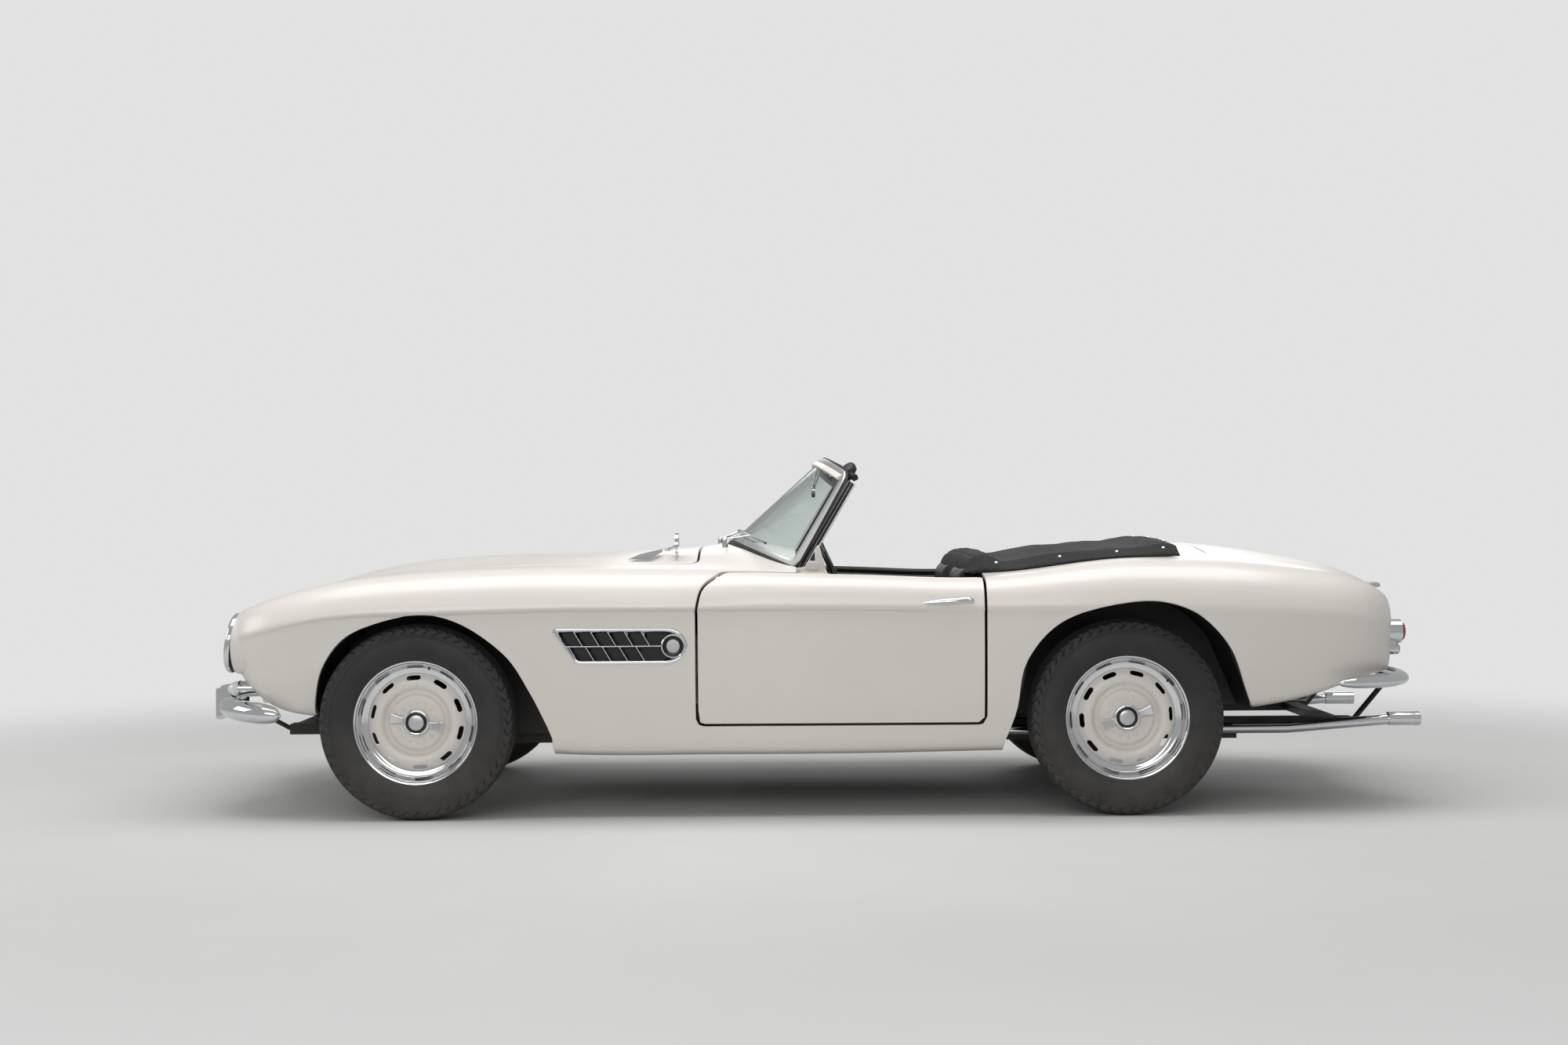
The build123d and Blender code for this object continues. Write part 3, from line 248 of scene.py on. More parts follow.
# %% Sections in millimetres
# station, foot z, foot y, waist y, waist z, waist step, crown y, crown z, ridge y, ridge z, centre z
SECTIONS = np.array([
    (-2178, 618, 1, 2, 622, 0, 1, 626, 0.5, 627, 628),
    (-2176, 590, 12, 20, 612, 0, 14, 648, 8, 655, 657),
    (-2172, 566, 60, 100, 612, 2, 74, 655, 40, 664, 668),
    (-2140, 545, 240, 330, 618, 3, 250, 682, 150, 688, 694),
    (-2095, 525, 470, 560, 622, 4, 450, 708, 260, 706, 712),
    (-2045, 495, 590, 690, 632, 5, 590, 728, 300, 727, 733),
    (-1950, 405, 660, 768, 655, 8, 628, 764, 320, 757, 768),
    (-1750, 350, 700, 806, 700, 11, 642, 818, 335, 816, 838),
    (-1390, 280, 740, 824, 722, 13, 638, 864, 350, 868, 903),
    (-900, 215, 755, 812, 731, 14, 625, 878, 380, 908, 919),
    (-415, 210, 762, 806, 730, 14, 632, 872, 420, 934, 942),
    (-250, 210, 762, 806, 730, 14, 676, 867, 430, 930, 957),
    (-60, 210, 764, 806, 730, 13, 700, 858, 440, 905, 930),
    (250, 212, 765, 807, 727, 11, 712, 846, 450, 875, 892),
    (601, 218, 765, 810, 722, 6, 712, 838, 460, 860, 880),
    (1090, 260, 745, 826, 716, 3, 668, 896, 450, 905, 935),
    (1290, 315, 735, 822, 712, 3, 655, 897, 440, 914, 943),
    (1430, 345, 725, 816, 708, 2, 645, 893, 430, 917, 943),
    (1750, 398, 690, 774, 692, 2, 600, 860, 400, 878, 900),
    (1950, 460, 640, 706, 670, 2, 560, 818, 350, 840, 858),
    (2050, 475, 545, 602, 650, 2, 480, 775, 280, 805, 818),
    (2110, 480, 400, 445, 640, 2, 360, 750, 200, 782, 792),
    (2150, 490, 210, 250, 635, 2, 205, 735, 120, 760, 766),
    (2165, 530, 60, 90, 640, 2, 70, 715, 40, 728, 732),
    (2167, 600, 12, 20, 645, 0, 14, 690, 8, 700, 702),
    (2169, 652, 1, 2, 656, 0, 1, 662, 0.5, 663, 664),
], float)
STEP_DROP, BELLY, SHOULDER_OUT, SHOULDER_UP = 9.0, 8.0, 0.74, 0.70


def spline_through(knots, rows, at):
    """A natural cubic spline through rows at the places given by knots."""
    n, gap = len(knots), np.diff(knots)
    system, right = np.zeros((n, n)), np.zeros((n, rows.shape[1]))
    system[0, 0] = system[-1, -1] = 1
    for i in range(1, n - 1):
        system[i, i - 1:i + 2] = gap[i - 1], 2 * (gap[i - 1] + gap[i]), gap[i]
        right[i] = 6 * ((rows[i + 1] - rows[i]) / gap[i] - (rows[i] - rows[i - 1]) / gap[i - 1])
    bend = np.linalg.solve(system, right)
    k = np.clip(np.searchsorted(knots, at) - 1, 0, n - 2)
    h, a, b = gap[k][:, None], (knots[k + 1] - at)[:, None], (at - knots[k])[:, None]
    return ((bend[k] * a ** 3 + bend[k + 1] * b ** 3) / (6 * h)
            + (rows[k] / h - bend[k] * h / 6) * a + (rows[k + 1] / h - bend[k + 1] * h / 6) * b)


def arc_points(p, q, r, count):
    """Points along the circular arc from p through q to r, without the last one."""
    p, q, r = (np.array(v, float) for v in (p, q, r))
    d = 2 * (p[0] * (q[1] - r[1]) + q[0] * (r[1] - p[1]) + r[0] * (p[1] - q[1]))
    if abs(d) < 1e-6:
        return [p + (r - p) * k / count for k in range(count)]
    sq = [v @ v for v in (p, q, r)]
    centre = np.array([sq[0] * (q[1] - r[1]) + sq[1] * (r[1] - p[1]) + sq[2] * (p[1] - q[1]),
                       sq[0] * (r[0] - q[0]) + sq[1] * (p[0] - r[0]) + sq[2] * (q[0] - p[0])]) / d
    a0, a1, a2 = (math.atan2(*(v - centre)[::-1]) for v in (p, q, r))
    turn = (a2 - a0) % (2 * math.pi)
    if (a1 - a0) % (2 * math.pi) > turn:
        turn -= 2 * math.pi
    radius = math.dist(p, centre)
    return [centre + radius * np.array([math.cos(a0 + turn * k / count), math.sin(a0 + turn * k / count)])
            for k in range(count)]


# the steps that each stretch of a half section takes: underside, flank, waist step, shoulder, to the ridge and on to
# the centre line
STRETCHES = (8, 30, 5, 26, 16, 18)
FOOT_AT = STRETCHES[0]
WAIST_AT = sum(STRETCHES[:3])


def half_section(row):
    """(y, z) points of half a section, from under the middle round the foot of the flank to the centre line."""
    _, foot_z, foot_y, waist_y, waist_z, step, crown_y, crown_z, ridge_y, ridge_z, top_z = row
    low = (waist_y - step, waist_z - STEP_DROP)
    belly = ((foot_y + low[0]) / 2 + 0.10 * (low[0] - foot_y) + BELLY * min(1.0, foot_y / 400), (foot_z + low[1]) / 2)
    shoulder = (crown_y + (waist_y - crown_y) * SHOULDER_OUT, waist_z + (crown_z - waist_z) * SHOULDER_UP)
    waist, crown, ridge = (waist_y, waist_z), (crown_y, crown_z), (ridge_y, ridge_z)
    points = [np.array([foot_y * k / STRETCHES[0], foot_z]) for k in range(STRETCHES[0])]
    points += arc_points((foot_y, foot_z), belly, low, STRETCHES[1])
    points += [np.array([low[0] + step * (k / STRETCHES[2]) ** 0.6, low[1] + STEP_DROP * k / STRETCHES[2]])
               for k in range(STRETCHES[2])]
    points += arc_points(waist, shoulder, crown, STRETCHES[3])
    points += [np.array(crown) + (np.array(ridge) - crown) * k / STRETCHES[4] for k in range(STRETCHES[4])]
    points += arc_points(ridge, (0, top_z), (-ridge_y, ridge_z), 2 * STRETCHES[5])[:STRETCHES[5]]
    points.append(np.array((0, top_z)))
    return np.array(points)


def soften(points, rounds, held):
    """Rounds the corners of a half section, leaving the held points where they are."""
    free = np.ones(len(points), bool)
    free[list(held)] = False
    for k in range(rounds):
        after = np.vstack([points[1:], points[-2] * (-1, 1)])
        before = np.vstack([points[1] * (-1, 1), points[:-1]])
        turn = free.copy()
        if k >= 3:
            turn[:FOOT_AT + 4] = False
        points = np.where(turn[:, None], points * 0.5 + (after + before) * 0.25, points)
    return points


ALONG = 1200
chord = np.sqrt((np.diff(SECTIONS[:, [0, 3, 6, 7]], axis=0) ** 2).sum(1))
knots = np.r_[0, np.cumsum(chord)]
half = []
for row in spline_through(knots, SECTIONS, np.linspace(0, knots[-1], ALONG)):
    points = soften(half_section(row), 26, range(WAIST_AT - 7, WAIST_AT + 3))
    half.append(np.column_stack([np.full(len(points), row[0]), -points[:, 0], points[:, 1]]))
half = np.array(half) / 1000
# columns run from under the middle, up the left flank, over the top and down the right flank
GRID = np.concatenate([half, (half[:, ::-1] * (1, -1, 1))[:, 1:]], axis=1)
TOP_AT, LAST = half.shape[1] - 1, GRID.shape[1] - 1
NORMALS = np.cross(np.gradient(GRID, axis=0), np.gradient(GRID, axis=1))
NORMALS /= np.maximum(np.linalg.norm(NORMALS, axis=2, keepdims=True), 1e-12)
print("body grid", GRID.shape, "looks out at the side:", NORMALS[600, 30].round(2))

# %% [markdown]
# ## Cutting panels out of the form
# A real body is pressed as one surface and then split by shut lines, so the light crosses a gap unbroken. Booleans on
# meshes would leave ragged shading beside each gap. Here every panel starts as a patch of the same grid, and each shut
# line is a distance field: a grid point near the line slides onto it, faces across it are split exactly on it, and the
# normals come from the whole body. The edge is then rolled over and returned inwards, as sheet metal is hemmed.

# %% The patch cutter


def on_body(uv, table=GRID):
    """Places or normals at fractional (row, column) positions of the body grid."""
    uv = np.asarray(uv, float)
    i = np.clip(uv[:, 0].astype(int), 0, table.shape[0] - 2)
    j = np.clip(uv[:, 1].astype(int), 0, table.shape[1] - 2)
    a, b = (uv[:, 0] - i)[:, None], (uv[:, 1] - j)[:, None]
    return ((table[i, j] * (1 - a) + table[i + 1, j] * a) * (1 - b)
            + (table[i, j + 1] * (1 - a) + table[i + 1, j + 1] * a) * b)


def row_at(x):
    """The grid row whose section stands at x on the centre line."""
    return float(np.interp(x, GRID[:, TOP_AT, 0], np.arange(ALONG)))


def inside(outline, u, v):
    """Signed distance of points (u, v) to a closed outline: positive inside it."""
    p, a = np.column_stack([u, v]), np.asarray(outline, float)
    b = np.roll(a, -1, axis=0)
    best, odd = np.full(len(p), 1e9), np.zeros(len(p), bool)
    for s, e in zip(a, b):
        d = e - s
        t = np.clip(((p - s) @ d) / max(d @ d, 1e-18), 0, 1)
        best = np.minimum(best, ((p - s - t[:, None] * d) ** 2).sum(1))
        if s[1] != e[1]:
            crosses = (s[1] > p[:, 1]) != (e[1] > p[:, 1])
            odd ^= crosses & (p[:, 0] < d[0] * (p[:, 1] - s[1]) / (e[1] - s[1]) + s[0])
    return np.where(odd, 1, -1) * np.sqrt(best)


def rounded(outline, radius, steps=5):
    """A closed outline with its corners rounded off."""
    pts, out = [np.array(p, float) for p in outline], []
    for k, p in enumerate(pts):
        q, r = pts[k - 1], pts[(k + 1) % len(pts)]
        to_q, to_r = (q - p), (r - p)
        lq, lr = np.linalg.norm(to_q), np.linalg.norm(to_r)
        cut = min(radius, 0.45 * lq, 0.45 * lr)
        s, e = p + to_q / lq * cut, p + to_r / lr * cut
        out += [(1 - t) ** 2 * s + 2 * t * (1 - t) * p + t * t * e for t in np.linspace(0, 1, steps + 1)]
    return np.array(out)


def soft_box(left, right, low, high, radius, steps=3):
    """A rectangle with rounded corners."""
    return rounded([(left, low), (right, low), (right, high), (left, high)], radius, steps)


SLIDE, HALVINGS = 0.28, 14  # the share of an edge that a point may slide, and how finely a cut is found


class Patch:
    """A piece of a gridded surface, the body's unless told otherwise: grid positions and the faces between them."""

    def __init__(self, rows, columns, table=GRID, normals=NORMALS):
        self.table, self.normals = table, normals
        rows, columns = list(rows), list(columns)
        self.uv = np.array([(r, c) for r in rows for c in columns], float)
        n = len(columns)
        self.faces = [(i * n + j, (i + 1) * n + j, (i + 1) * n + j + 1, i * n + j + 1)
                      for i in range(len(rows) - 1) for j in range(n - 1)]

    def at(self, uv):
        return on_body(uv, self.table)

    def keep(self, field):
        """Cuts away what lies where field(points, uv) is negative."""
        f = field(self.at(self.uv), self.uv)
        pairs = {(min(a, b), max(a, b)) for face in self.faces for a, b in zip(face, face[1:] + face[:1])
                 if (f[a] < 0) != (f[b] < 0)}
        if pairs:
            pairs = np.array(sorted(pairs))
            a, b = self.uv[pairs[:, 0]], self.uv[pairs[:, 1]]
            low, high, starts_in = np.zeros(len(pairs)), np.ones(len(pairs)), f[pairs[:, 0]] >= 0
            for _ in range(HALVINGS):
                middle = (low + high) / 2
                at = a + (b - a) * middle[:, None]
                same = (field(self.at(at), at) >= 0) == starts_in
                low, high = np.where(same, middle, low), np.where(same, high, middle)
            share = (low + high) / 2
            crossing = a + (b - a) * share[:, None]
            moved = {}
            for k in np.argsort(np.minimum(share, 1 - share)):
                end = 0 if share[k] < 0.5 else 1
                node = pairs[k][end]
                if min(share[k], 1 - share[k]) < SLIDE and node not in moved:
                    moved[node] = crossing[k]
            for node, place in moved.items():
                self.uv[node], f[node] = place, 0.0
            fresh, extra = {}, []
            for k, (p, q) in enumerate(pairs):
                if f[p] * f[q] < 0:
                    fresh[(p, q)] = len(self.uv) + len(extra)
                    extra.append(crossing[k])
            if extra:
                self.uv = np.vstack([self.uv, extra])
        else:
            fresh = {}
        kept = []
        for face in self.faces:
            if max(f[v] for v in face) <= 0:
                continue
            cut = []
            for p, q in zip(face, face[1:] + face[:1]):
                if f[p] >= 0:
                    cut.append(p)
                key = (min(p, q), max(p, q))
                if key in fresh:
                    cut.append(fresh[key])
            if len(cut) > 2:
                kept.append(tuple(cut))
        self.faces = kept
        used = sorted({v for face in kept for v in face})
        index = {v: k for k, v in enumerate(used)}
        self.uv = self.uv[used]
        self.faces = [tuple(index[v] for v in face) for face in kept]
        return self

    def loops(self):
        """The patch's free edges as closed loops, with the surface on their left."""
        edges = {(a, b): True for face in self.faces for a, b in zip(face, face[1:] + face[:1])}
        ahead, last = {}, self.table.shape[1] - 1
        for a, b in edges:
            on_seam = all(self.uv[v][1] < 1e-6 or self.uv[v][1] > last - 1e-6 for v in (a, b))
            if (b, a) not in edges and not on_seam:
                ahead.setdefault(a, []).append(b)
        reached = {b for options in ahead.values() for b in options}
        found = []
        while ahead:
            start = next((v for v in ahead if v not in reached), next(iter(ahead)))
            chain, here = [start], start
            while here in ahead:
                options = ahead[here]
                following = options.pop()
                if not options:
                    del ahead[here]
                if following == start:
                    break
                chain.append(following)
                here = following
            found.append((chain, following == start))
        return found


def along_line(points, closed):
    """The direction of a line at each of its points."""
    along = np.roll(points, -1, axis=0) - np.roll(points, 1, axis=0) if closed else np.gradient(points, axis=0)
    return along / np.maximum(np.linalg.norm(along, axis=1, keepdims=True), 1e-9)


def hemmed(patch, name, roll, thick, inner=True):
    """A mesh object from a patch: outer skin, rolled edges and an inner skin thick metres below."""
    outer, normal = patch.at(patch.uv), on_body(patch.uv, patch.normals)
    normal /= np.linalg.norm(normal, axis=1, keepdims=True)
    places, faces, shade = [*outer], [*patch.faces], [*normal]
    n = len(outer)
    below = list(range(n, 2 * n)) if inner else None
    if inner:
        places += [*(outer - normal * thick)]
        shade += [None] * n
        faces += [tuple(v + n for v in reversed(face)) for face in patch.faces]
    ends = []
    for chain, closed in patch.loops():
        chain = np.array(chain)
        here = outer[chain]
        along = along_line(here, closed)
        up = normal[chain]
        out = np.cross(along, up)
        out /= np.maximum(np.linalg.norm(out, axis=1, keepdims=True), 1e-9)
        ring = list(chain)
        for angle in (30, 60, 90):
            s, c = math.sin(math.radians(angle)), math.cos(math.radians(angle))
            fresh = list(range(len(places), len(places) + len(chain)))
            places += [*(here + out * roll * s - up * roll * (1 - c))]
            shade += [*(out * s + up * c)]
            faces += bridge(ring, fresh, closed)
            ring = fresh
        if inner:
            fresh = list(range(len(places), len(places) + len(chain)))
            places += [*(here + out * roll - up * thick)]
            shade += [None] * len(chain)
            faces += bridge(ring, fresh, closed)
            faces += bridge(fresh, [below[v] for v in chain], closed)
        ends.append((ring, closed))
    return build_mesh(name, places, stitch(places, faces), shade), ends


def stitch(places, faces):
    """The faces with the points of a seam that lie in the same place taken as one."""
    first, same = {}, {}
    for k, place in enumerate(places):
        same[k] = first.setdefault(tuple(np.round(place, 7)), k)
    joined = []
    for face in faces:
        face = [same[v] for v in face]
        face = [v for k, v in enumerate(face) if v != face[k - 1]]
        if len(set(face)) > 2:
            joined.append(tuple(face))
    return joined


def bridge(first, second, closed):
    """Quads from one ring of points to the next, for a ring that runs with the surface on its left."""
    count = len(first)
    return [(first[(k + 1) % count], first[k], second[k], second[(k + 1) % count])
            for k in range(count if closed else count - 1)]


def set_out(name, data):
    """A new object in the scene."""
    made = bpy.data.objects.new(name, data)
    bpy.context.scene.collection.objects.link(made)
    return made


def build_mesh(name, places, faces, shade=None, sharp=40.0, finish=None, outward=False):
    """An object from points and faces, smooth up to the sharp angle, with given normals where there are some."""
    mesh = bpy.data.meshes.new(name)
    mesh.from_pydata([tuple(p) for p in places], [], [tuple(f) for f in faces])
    mesh.validate()
    if outward:
        bm = bmesh.new()
        bm.from_mesh(mesh)
        bmesh.ops.recalc_face_normals(bm, faces=bm.faces)
        bm.to_mesh(mesh)
        bm.free()
    if finish:
        mesh.materials.append(finish)
    mesh.shade_smooth()
    mesh.set_sharp_from_angle(angle=math.radians(sharp))
    if shade is not None and any(n is not None for n in shade):
        loops = [(0.0, 0.0, 0.0)] * len(mesh.loops)
        for loop in mesh.loops:
            given = shade[loop.vertex_index]
            if given is not None:
                loops[loop.index] = tuple(given)
        mesh.normals_split_custom_set(loops)
    return set_out(name, mesh)

# %% [markdown]
# ## The outlines of the panels
# Shut lines read as straight or gently bowed in one drawing only: the bonnet and boot lid in plan, the doors and wheel
# arches from the side, the lamps and grilles from the front. So each outline is drawn in its own view and projected
# on to the body, the way a template is scribed on to a clay model.

# %% Outlines in metres


def smooth_outline(points, steps):
    """An open run of points joined by a Catmull-Rom curve."""
    p = np.array(points, float)
    p = np.vstack([2 * p[0] - p[1], p, 2 * p[-1] - p[-2]])
    out = []
    for a, b, c, d in zip(p[:-3], p[1:-2], p[2:-1], p[3:]):
        for t in np.linspace(0, 1, steps, endpoint=False):
            out.append(0.5 * (2 * b + (c - a) * t + (2 * a - 5 * b + 4 * c - d) * t ** 2
                              + (3 * b - 3 * c + d - a) * t ** 3))
    return np.array([*out, p[-2]])


AXLES = (-1.390, 1.090)
AXLE_Z = 0.342
FRONT_ARCH = [(-368, -10), (-361, 80), (-323, 203), (-222, 312), (-18, 372), (145, 350), (308, 237), (395, 105),
              (471, -52)]
REAR_ARCH = [(-430, -90), (-385, 32), (-350, 203), (-214, 346), (44, 409), (221, 373), (351, 252), (417, 99),
             (462, -10)]
BONNET = [(-2.040, 0.395), (-1.390, 0.520), (-0.417, 0.585)]
BOOT = [(1.430, 0.505), (1.750, 0.475), (2.040, 0.400), (2.300, 0.400)]
VENT = [(-0.914, 0.664), (-0.500, 0.662), (-0.500, 0.546), (-0.830, 0.546)]
DOOR_X, DOOR_Z, RAIL_Y = (-0.406, 0.592), (0.330, 0.730), 0.716
WELL_X, WELL_Y, COWL_X = (0.601, 1.290), 0.600, -0.060
DOOR_GAP, LID_GAP, ROLL = 0.009, 0.008, 0.003
LAMP_Y, LAMP_Z, LAMP_R = 0.600, 0.612, 0.103
GRILLE_Y, GRILLE_Z, GRILLE_H = (0.030, 0.440), 0.578, 0.112
# how high the lids and the cockpit start, how far out the side openings start and how far back the nose's may reach
BONNET_LOW, BOOT_LOW, BOOT_BLEND, COCKPIT_LOW = 0.64, 0.735, 0.07, 0.60
ARCH_Y, VENT_Y, NOSE_BACK = 0.30, 0.60, -1.9


def lid_outline(table, radius):
    """A lid in plan, both halves, from its half widths."""
    half = np.array(table)
    if len(table) == 3:
        half = smooth_outline(table, 10)
    else:
        half = np.vstack([smooth_outline(table[:3], 10), table[3:]])
    return rounded([*half, *(half[::-1] * (1, -1))], radius)


def arch_outline(points, axle):
    curve = smooth_outline([(axle + x / 1000, AXLE_Z + z / 1000) for x, z in points], 9)
    return [(curve[0][0] - 0.004, 0.02), *curve, (curve[-1][0] + 0.02, 0.02)]


bonnet_plan = lid_outline(BONNET, 0.07)
boot_plan = lid_outline(BOOT, 0.06)
front_arch, rear_arch = arch_outline(FRONT_ARCH, AXLES[0]), arch_outline(REAR_ARCH, AXLES[1])
front_curve = smooth_outline([(DOOR_X[0], 0.690), (-0.4058, DOOR_Z[1]), (-0.388, 0.800), (-0.338, 0.842),
                              (-0.30, 0.862)], 8)
door_side = [(DOOR_X[0], DOOR_Z[0]), *front_curve, (-0.30, 0.96), (DOOR_X[1], 0.96), (DOOR_X[1], DOOR_Z[0])]
door_side = [*rounded(door_side[-3:] + door_side[:2], 0.022)[6:-6], *door_side[2:-3]]
cockpit_plan = [(COWL_X, -0.76), (WELL_X[0], -0.76), (WELL_X[0], -WELL_Y), (WELL_X[1], -WELL_Y), (WELL_X[1], WELL_Y),
                (WELL_X[0], WELL_Y), (WELL_X[0], 0.76), (COWL_X, 0.76)]
grille_front = soft_box(*GRILLE_Y, GRILLE_Z - GRILLE_H / 2, GRILLE_Z + GRILLE_H / 2, GRILLE_H * 0.46, 8)
vent_side = [VENT[0], VENT[1], (-0.462, 0.645), (-0.442, 0.604), (-0.462, 0.563), VENT[2], VENT[3]]
vent_side = rounded(vent_side, 0.02)


def blended(a, b, radius):
    """The overlap of two fields, with a rounded corner between them."""
    corner = np.sqrt(np.maximum(radius - a, 0) ** 2 + np.maximum(radius - b, 0) ** 2)
    return np.where((a < radius) & (b < radius), radius - corner, np.minimum(a, b))


def bonnet_field(at):
    return np.minimum(inside(bonnet_plan, at[:, 0], at[:, 1]), at[:, 2] - BONNET_LOW)


def boot_field(at):
    return blended(inside(boot_plan, at[:, 0], at[:, 1]), at[:, 2] - BOOT_LOW, BOOT_BLEND)


def door_field(at):
    return np.minimum(inside(door_side, at[:, 0], at[:, 2]), np.abs(at[:, 1]) - RAIL_Y)


def hole_field(at):
    """How far a point of the body is inside the nearest opening of the skin."""
    x, y, z = at[:, 0], np.abs(at[:, 1]), at[:, 2]
    holes = [bonnet_field(at) + LID_GAP, boot_field(at) + LID_GAP, door_field(at) + DOOR_GAP,
             np.minimum(inside(cockpit_plan, x, at[:, 1]), z - COCKPIT_LOW),
             np.minimum(LAMP_R - np.hypot(y - LAMP_Y, z - LAMP_Z), NOSE_BACK - x),
             np.minimum(inside(grille_front, y, z), NOSE_BACK - x)]
    holes += [np.minimum(inside(outline, x, z), y - start)
              for outline, start in ((front_arch, ARCH_Y), (rear_arch, ARCH_Y), (vent_side, VENT_Y))]
    return np.max(holes, axis=0)


print("outlines ready: bonnet", len(bonnet_plan), "boot", len(boot_plan), "door", len(door_side), "points")

# %% [markdown]
# ## Pressing the panels
# The root skin carries everything that is fixed: nose, wings, scuttle, sills, deck and tail in one unbroken surface.
# The bonnet, the boot lid and the doors are cut from the same grid, so their highlights continue across the gaps, and
# each one rides on its own hinge.

# %% The fixed body skin
far = [*range(0, 240, 2), *range(240, 960, 3), *range(960, ALONG - 1, 2), ALONG - 1]
girth = [0, 4, *range(FOOT_AT, LAST - FOOT_AT + 1, 2), LAST - 4, LAST]
shell = Patch(far, girth)


def open_below(at, uv):
    """The skin ends at the foot of the flank, except under the nose and the tail."""
    foot = np.minimum(uv[:, 1] - FOOT_AT, LAST - FOOT_AT - uv[:, 1]) * 0.02
    return np.maximum(foot, np.maximum(-2.00 - at[:, 0], at[:, 0] - 2.06))


shell.keep(open_below)
shell.keep(lambda at, uv: -hole_field(at) - ROLL)
body_skin, body_edges = hemmed(shell, "body_skin", ROLL, 0.012)
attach(body_skin, "car")
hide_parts("nose_panel", "front_wings", "scuttle", "sills", "rear_wings", "rear_deck", "tail_panel")
print("body skin faces:", len(body_skin.data.polygons), "edges rolled:", len(body_edges))

# %% Bonnet and boot lid
lid = Patch(range(40, 640, 3), range(WAIST_AT, LAST - WAIST_AT + 1, 2))
lid.keep(lambda at, uv: bonnet_field(at) - ROLL)
bonnet, _ = hemmed(lid, "bonnet_skin", ROLL, 0.014)
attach(bonnet, "bonnet")
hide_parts("bonnet")
lid = Patch([*range(880, ALONG - 1, 3), ALONG - 1], range(WAIST_AT, LAST - WAIST_AT + 1, 2))
lid.keep(lambda at, uv: boot_field(at) - ROLL)
boot_lid, _ = hemmed(lid, "boot_lid_skin", ROLL, 0.014)
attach(boot_lid, "boot_lid")
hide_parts("boot_lid")
print("bonnet faces:", len(bonnet.data.polygons), "boot lid faces:", len(boot_lid.data.polygons))

# %% Doors


def twin(obj, name):
    """The same mesh on the car's other side."""
    mesh = obj.data
    places = [(v.co.x, -v.co.y, v.co.z) for v in mesh.vertices]
    faces = [tuple(reversed(f.vertices)) for f in mesh.polygons]
    made = build_mesh(name, places, faces)
    normals = [None] * len(mesh.loops)
    for face, other in zip(mesh.polygons, made.data.polygons):
        loops = list(face.loop_indices)[::-1]
        for mine, theirs in zip(loops, other.loop_indices):
            n = mesh.corner_normals[mine].vector
            normals[theirs] = (n.x, -n.y, n.z)
    made.data.normals_split_custom_set(normals)
    return made


door = Patch(range(int(row_at(-0.44)), int(row_at(0.63)), 3), range(FOOT_AT, TOP_AT, 2))
door.keep(lambda at, uv: door_field(at) - ROLL)
pressed, edges = hemmed(door, "door_skin", ROLL, 0.010, inner=False)
ring = max(edges, key=lambda e: len(e[0]))[0]
rim = np.array([pressed.data.vertices[v].co for v in ring])
rail_z, card_y = 0.790, -0.731
high_up = rim[:, 2] > rail_z
in_y = np.where(high_up, np.maximum(rim[:, 1], -RAIL_Y - 0.0005), card_y)
places = [tuple(v.co) for v in pressed.data.vertices]
faces = [tuple(f.vertices) for f in pressed.data.polygons]
# the rim is carried in to the rail, down to its foot and out to the card, and closed there
for y, z in ((in_y, rim[:, 2]), (in_y, np.minimum(rim[:, 2], rail_z)),
             (np.full(len(rim), card_y), np.minimum(rim[:, 2], rail_z - 0.006))):
    fresh = list(range(len(places), len(places) + len(rim)))
    places += [*np.column_stack([rim[:, 0], y, z])]
    faces += bridge(ring, fresh, True)
    ring = fresh
faces.append(tuple(ring))
shade = [None] * len(places)
for loop, corner in zip(pressed.data.loops, pressed.data.corner_normals):
    shade[loop.vertex_index] = tuple(corner.vector)
bpy.data.objects.remove(pressed)
doors = {"left": build_mesh("door_skin_left", places, faces, shade, sharp=30)}
doors["right"] = twin(doors["left"], "door_skin_right")
for side, skin in doors.items():
    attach(skin, f"door_{side}")
    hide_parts(f"door_{side}")
print("door faces:", len(doors["left"].data.polygons))

# %% [markdown]
# ## Rails, seals and strips
# Much of a car's trim is one section pulled along a line: the windscreen rail, its rubber, a bumper blade, a bead. A
# Blender curve with a bevel object would do, but it twists on a line that bends two ways. So the section is carried by
# hand, with its own idea of up at each point, and it may grow or shrink on the way.

# %% Sections carried along a line


def tube(rings, closed=False):
    """Points and faces of a skin over rings of points, capped at both ends unless it closes on itself."""
    n, m = len(rings), len(rings[0])
    faces = [((i + 1) % n * m + j, (i + 1) % n * m + (j + 1) % m, i * m + (j + 1) % m, i * m + j)
             for i in range(n if closed else n - 1) for j in range(m)]
    if not closed:
        faces += [tuple(range(m)), tuple((n - 1) * m + j for j in reversed(range(m)))]
    return np.reshape(rings, (-1, 3)), faces


def swept(path, section, up, closed=False, sizes=None):
    """Points and faces of a section of (sideways, upwards) points carried along a path."""
    path = np.asarray(path, float)
    along = along_line(path, closed)
    side = np.cross(along, np.broadcast_to(np.asarray(up, float), path.shape))
    side /= np.linalg.norm(side, axis=1, keepdims=True)
    top = np.cross(side, along)
    sizes = np.ones((len(path), 2)) if sizes is None else np.asarray(sizes, float)
    s = np.asarray(section, float)[None] * sizes[:, None]
    places = path[:, None] + side[:, None] * s[..., :1] + top[:, None] * s[..., 1:]
    return tube(places, closed)


def oval(wide, high, count):
    """An oval section from its half sizes."""
    return [(wide * math.cos(a), high * math.sin(a)) for a in np.linspace(0, 2 * math.pi, count, endpoint=False)]


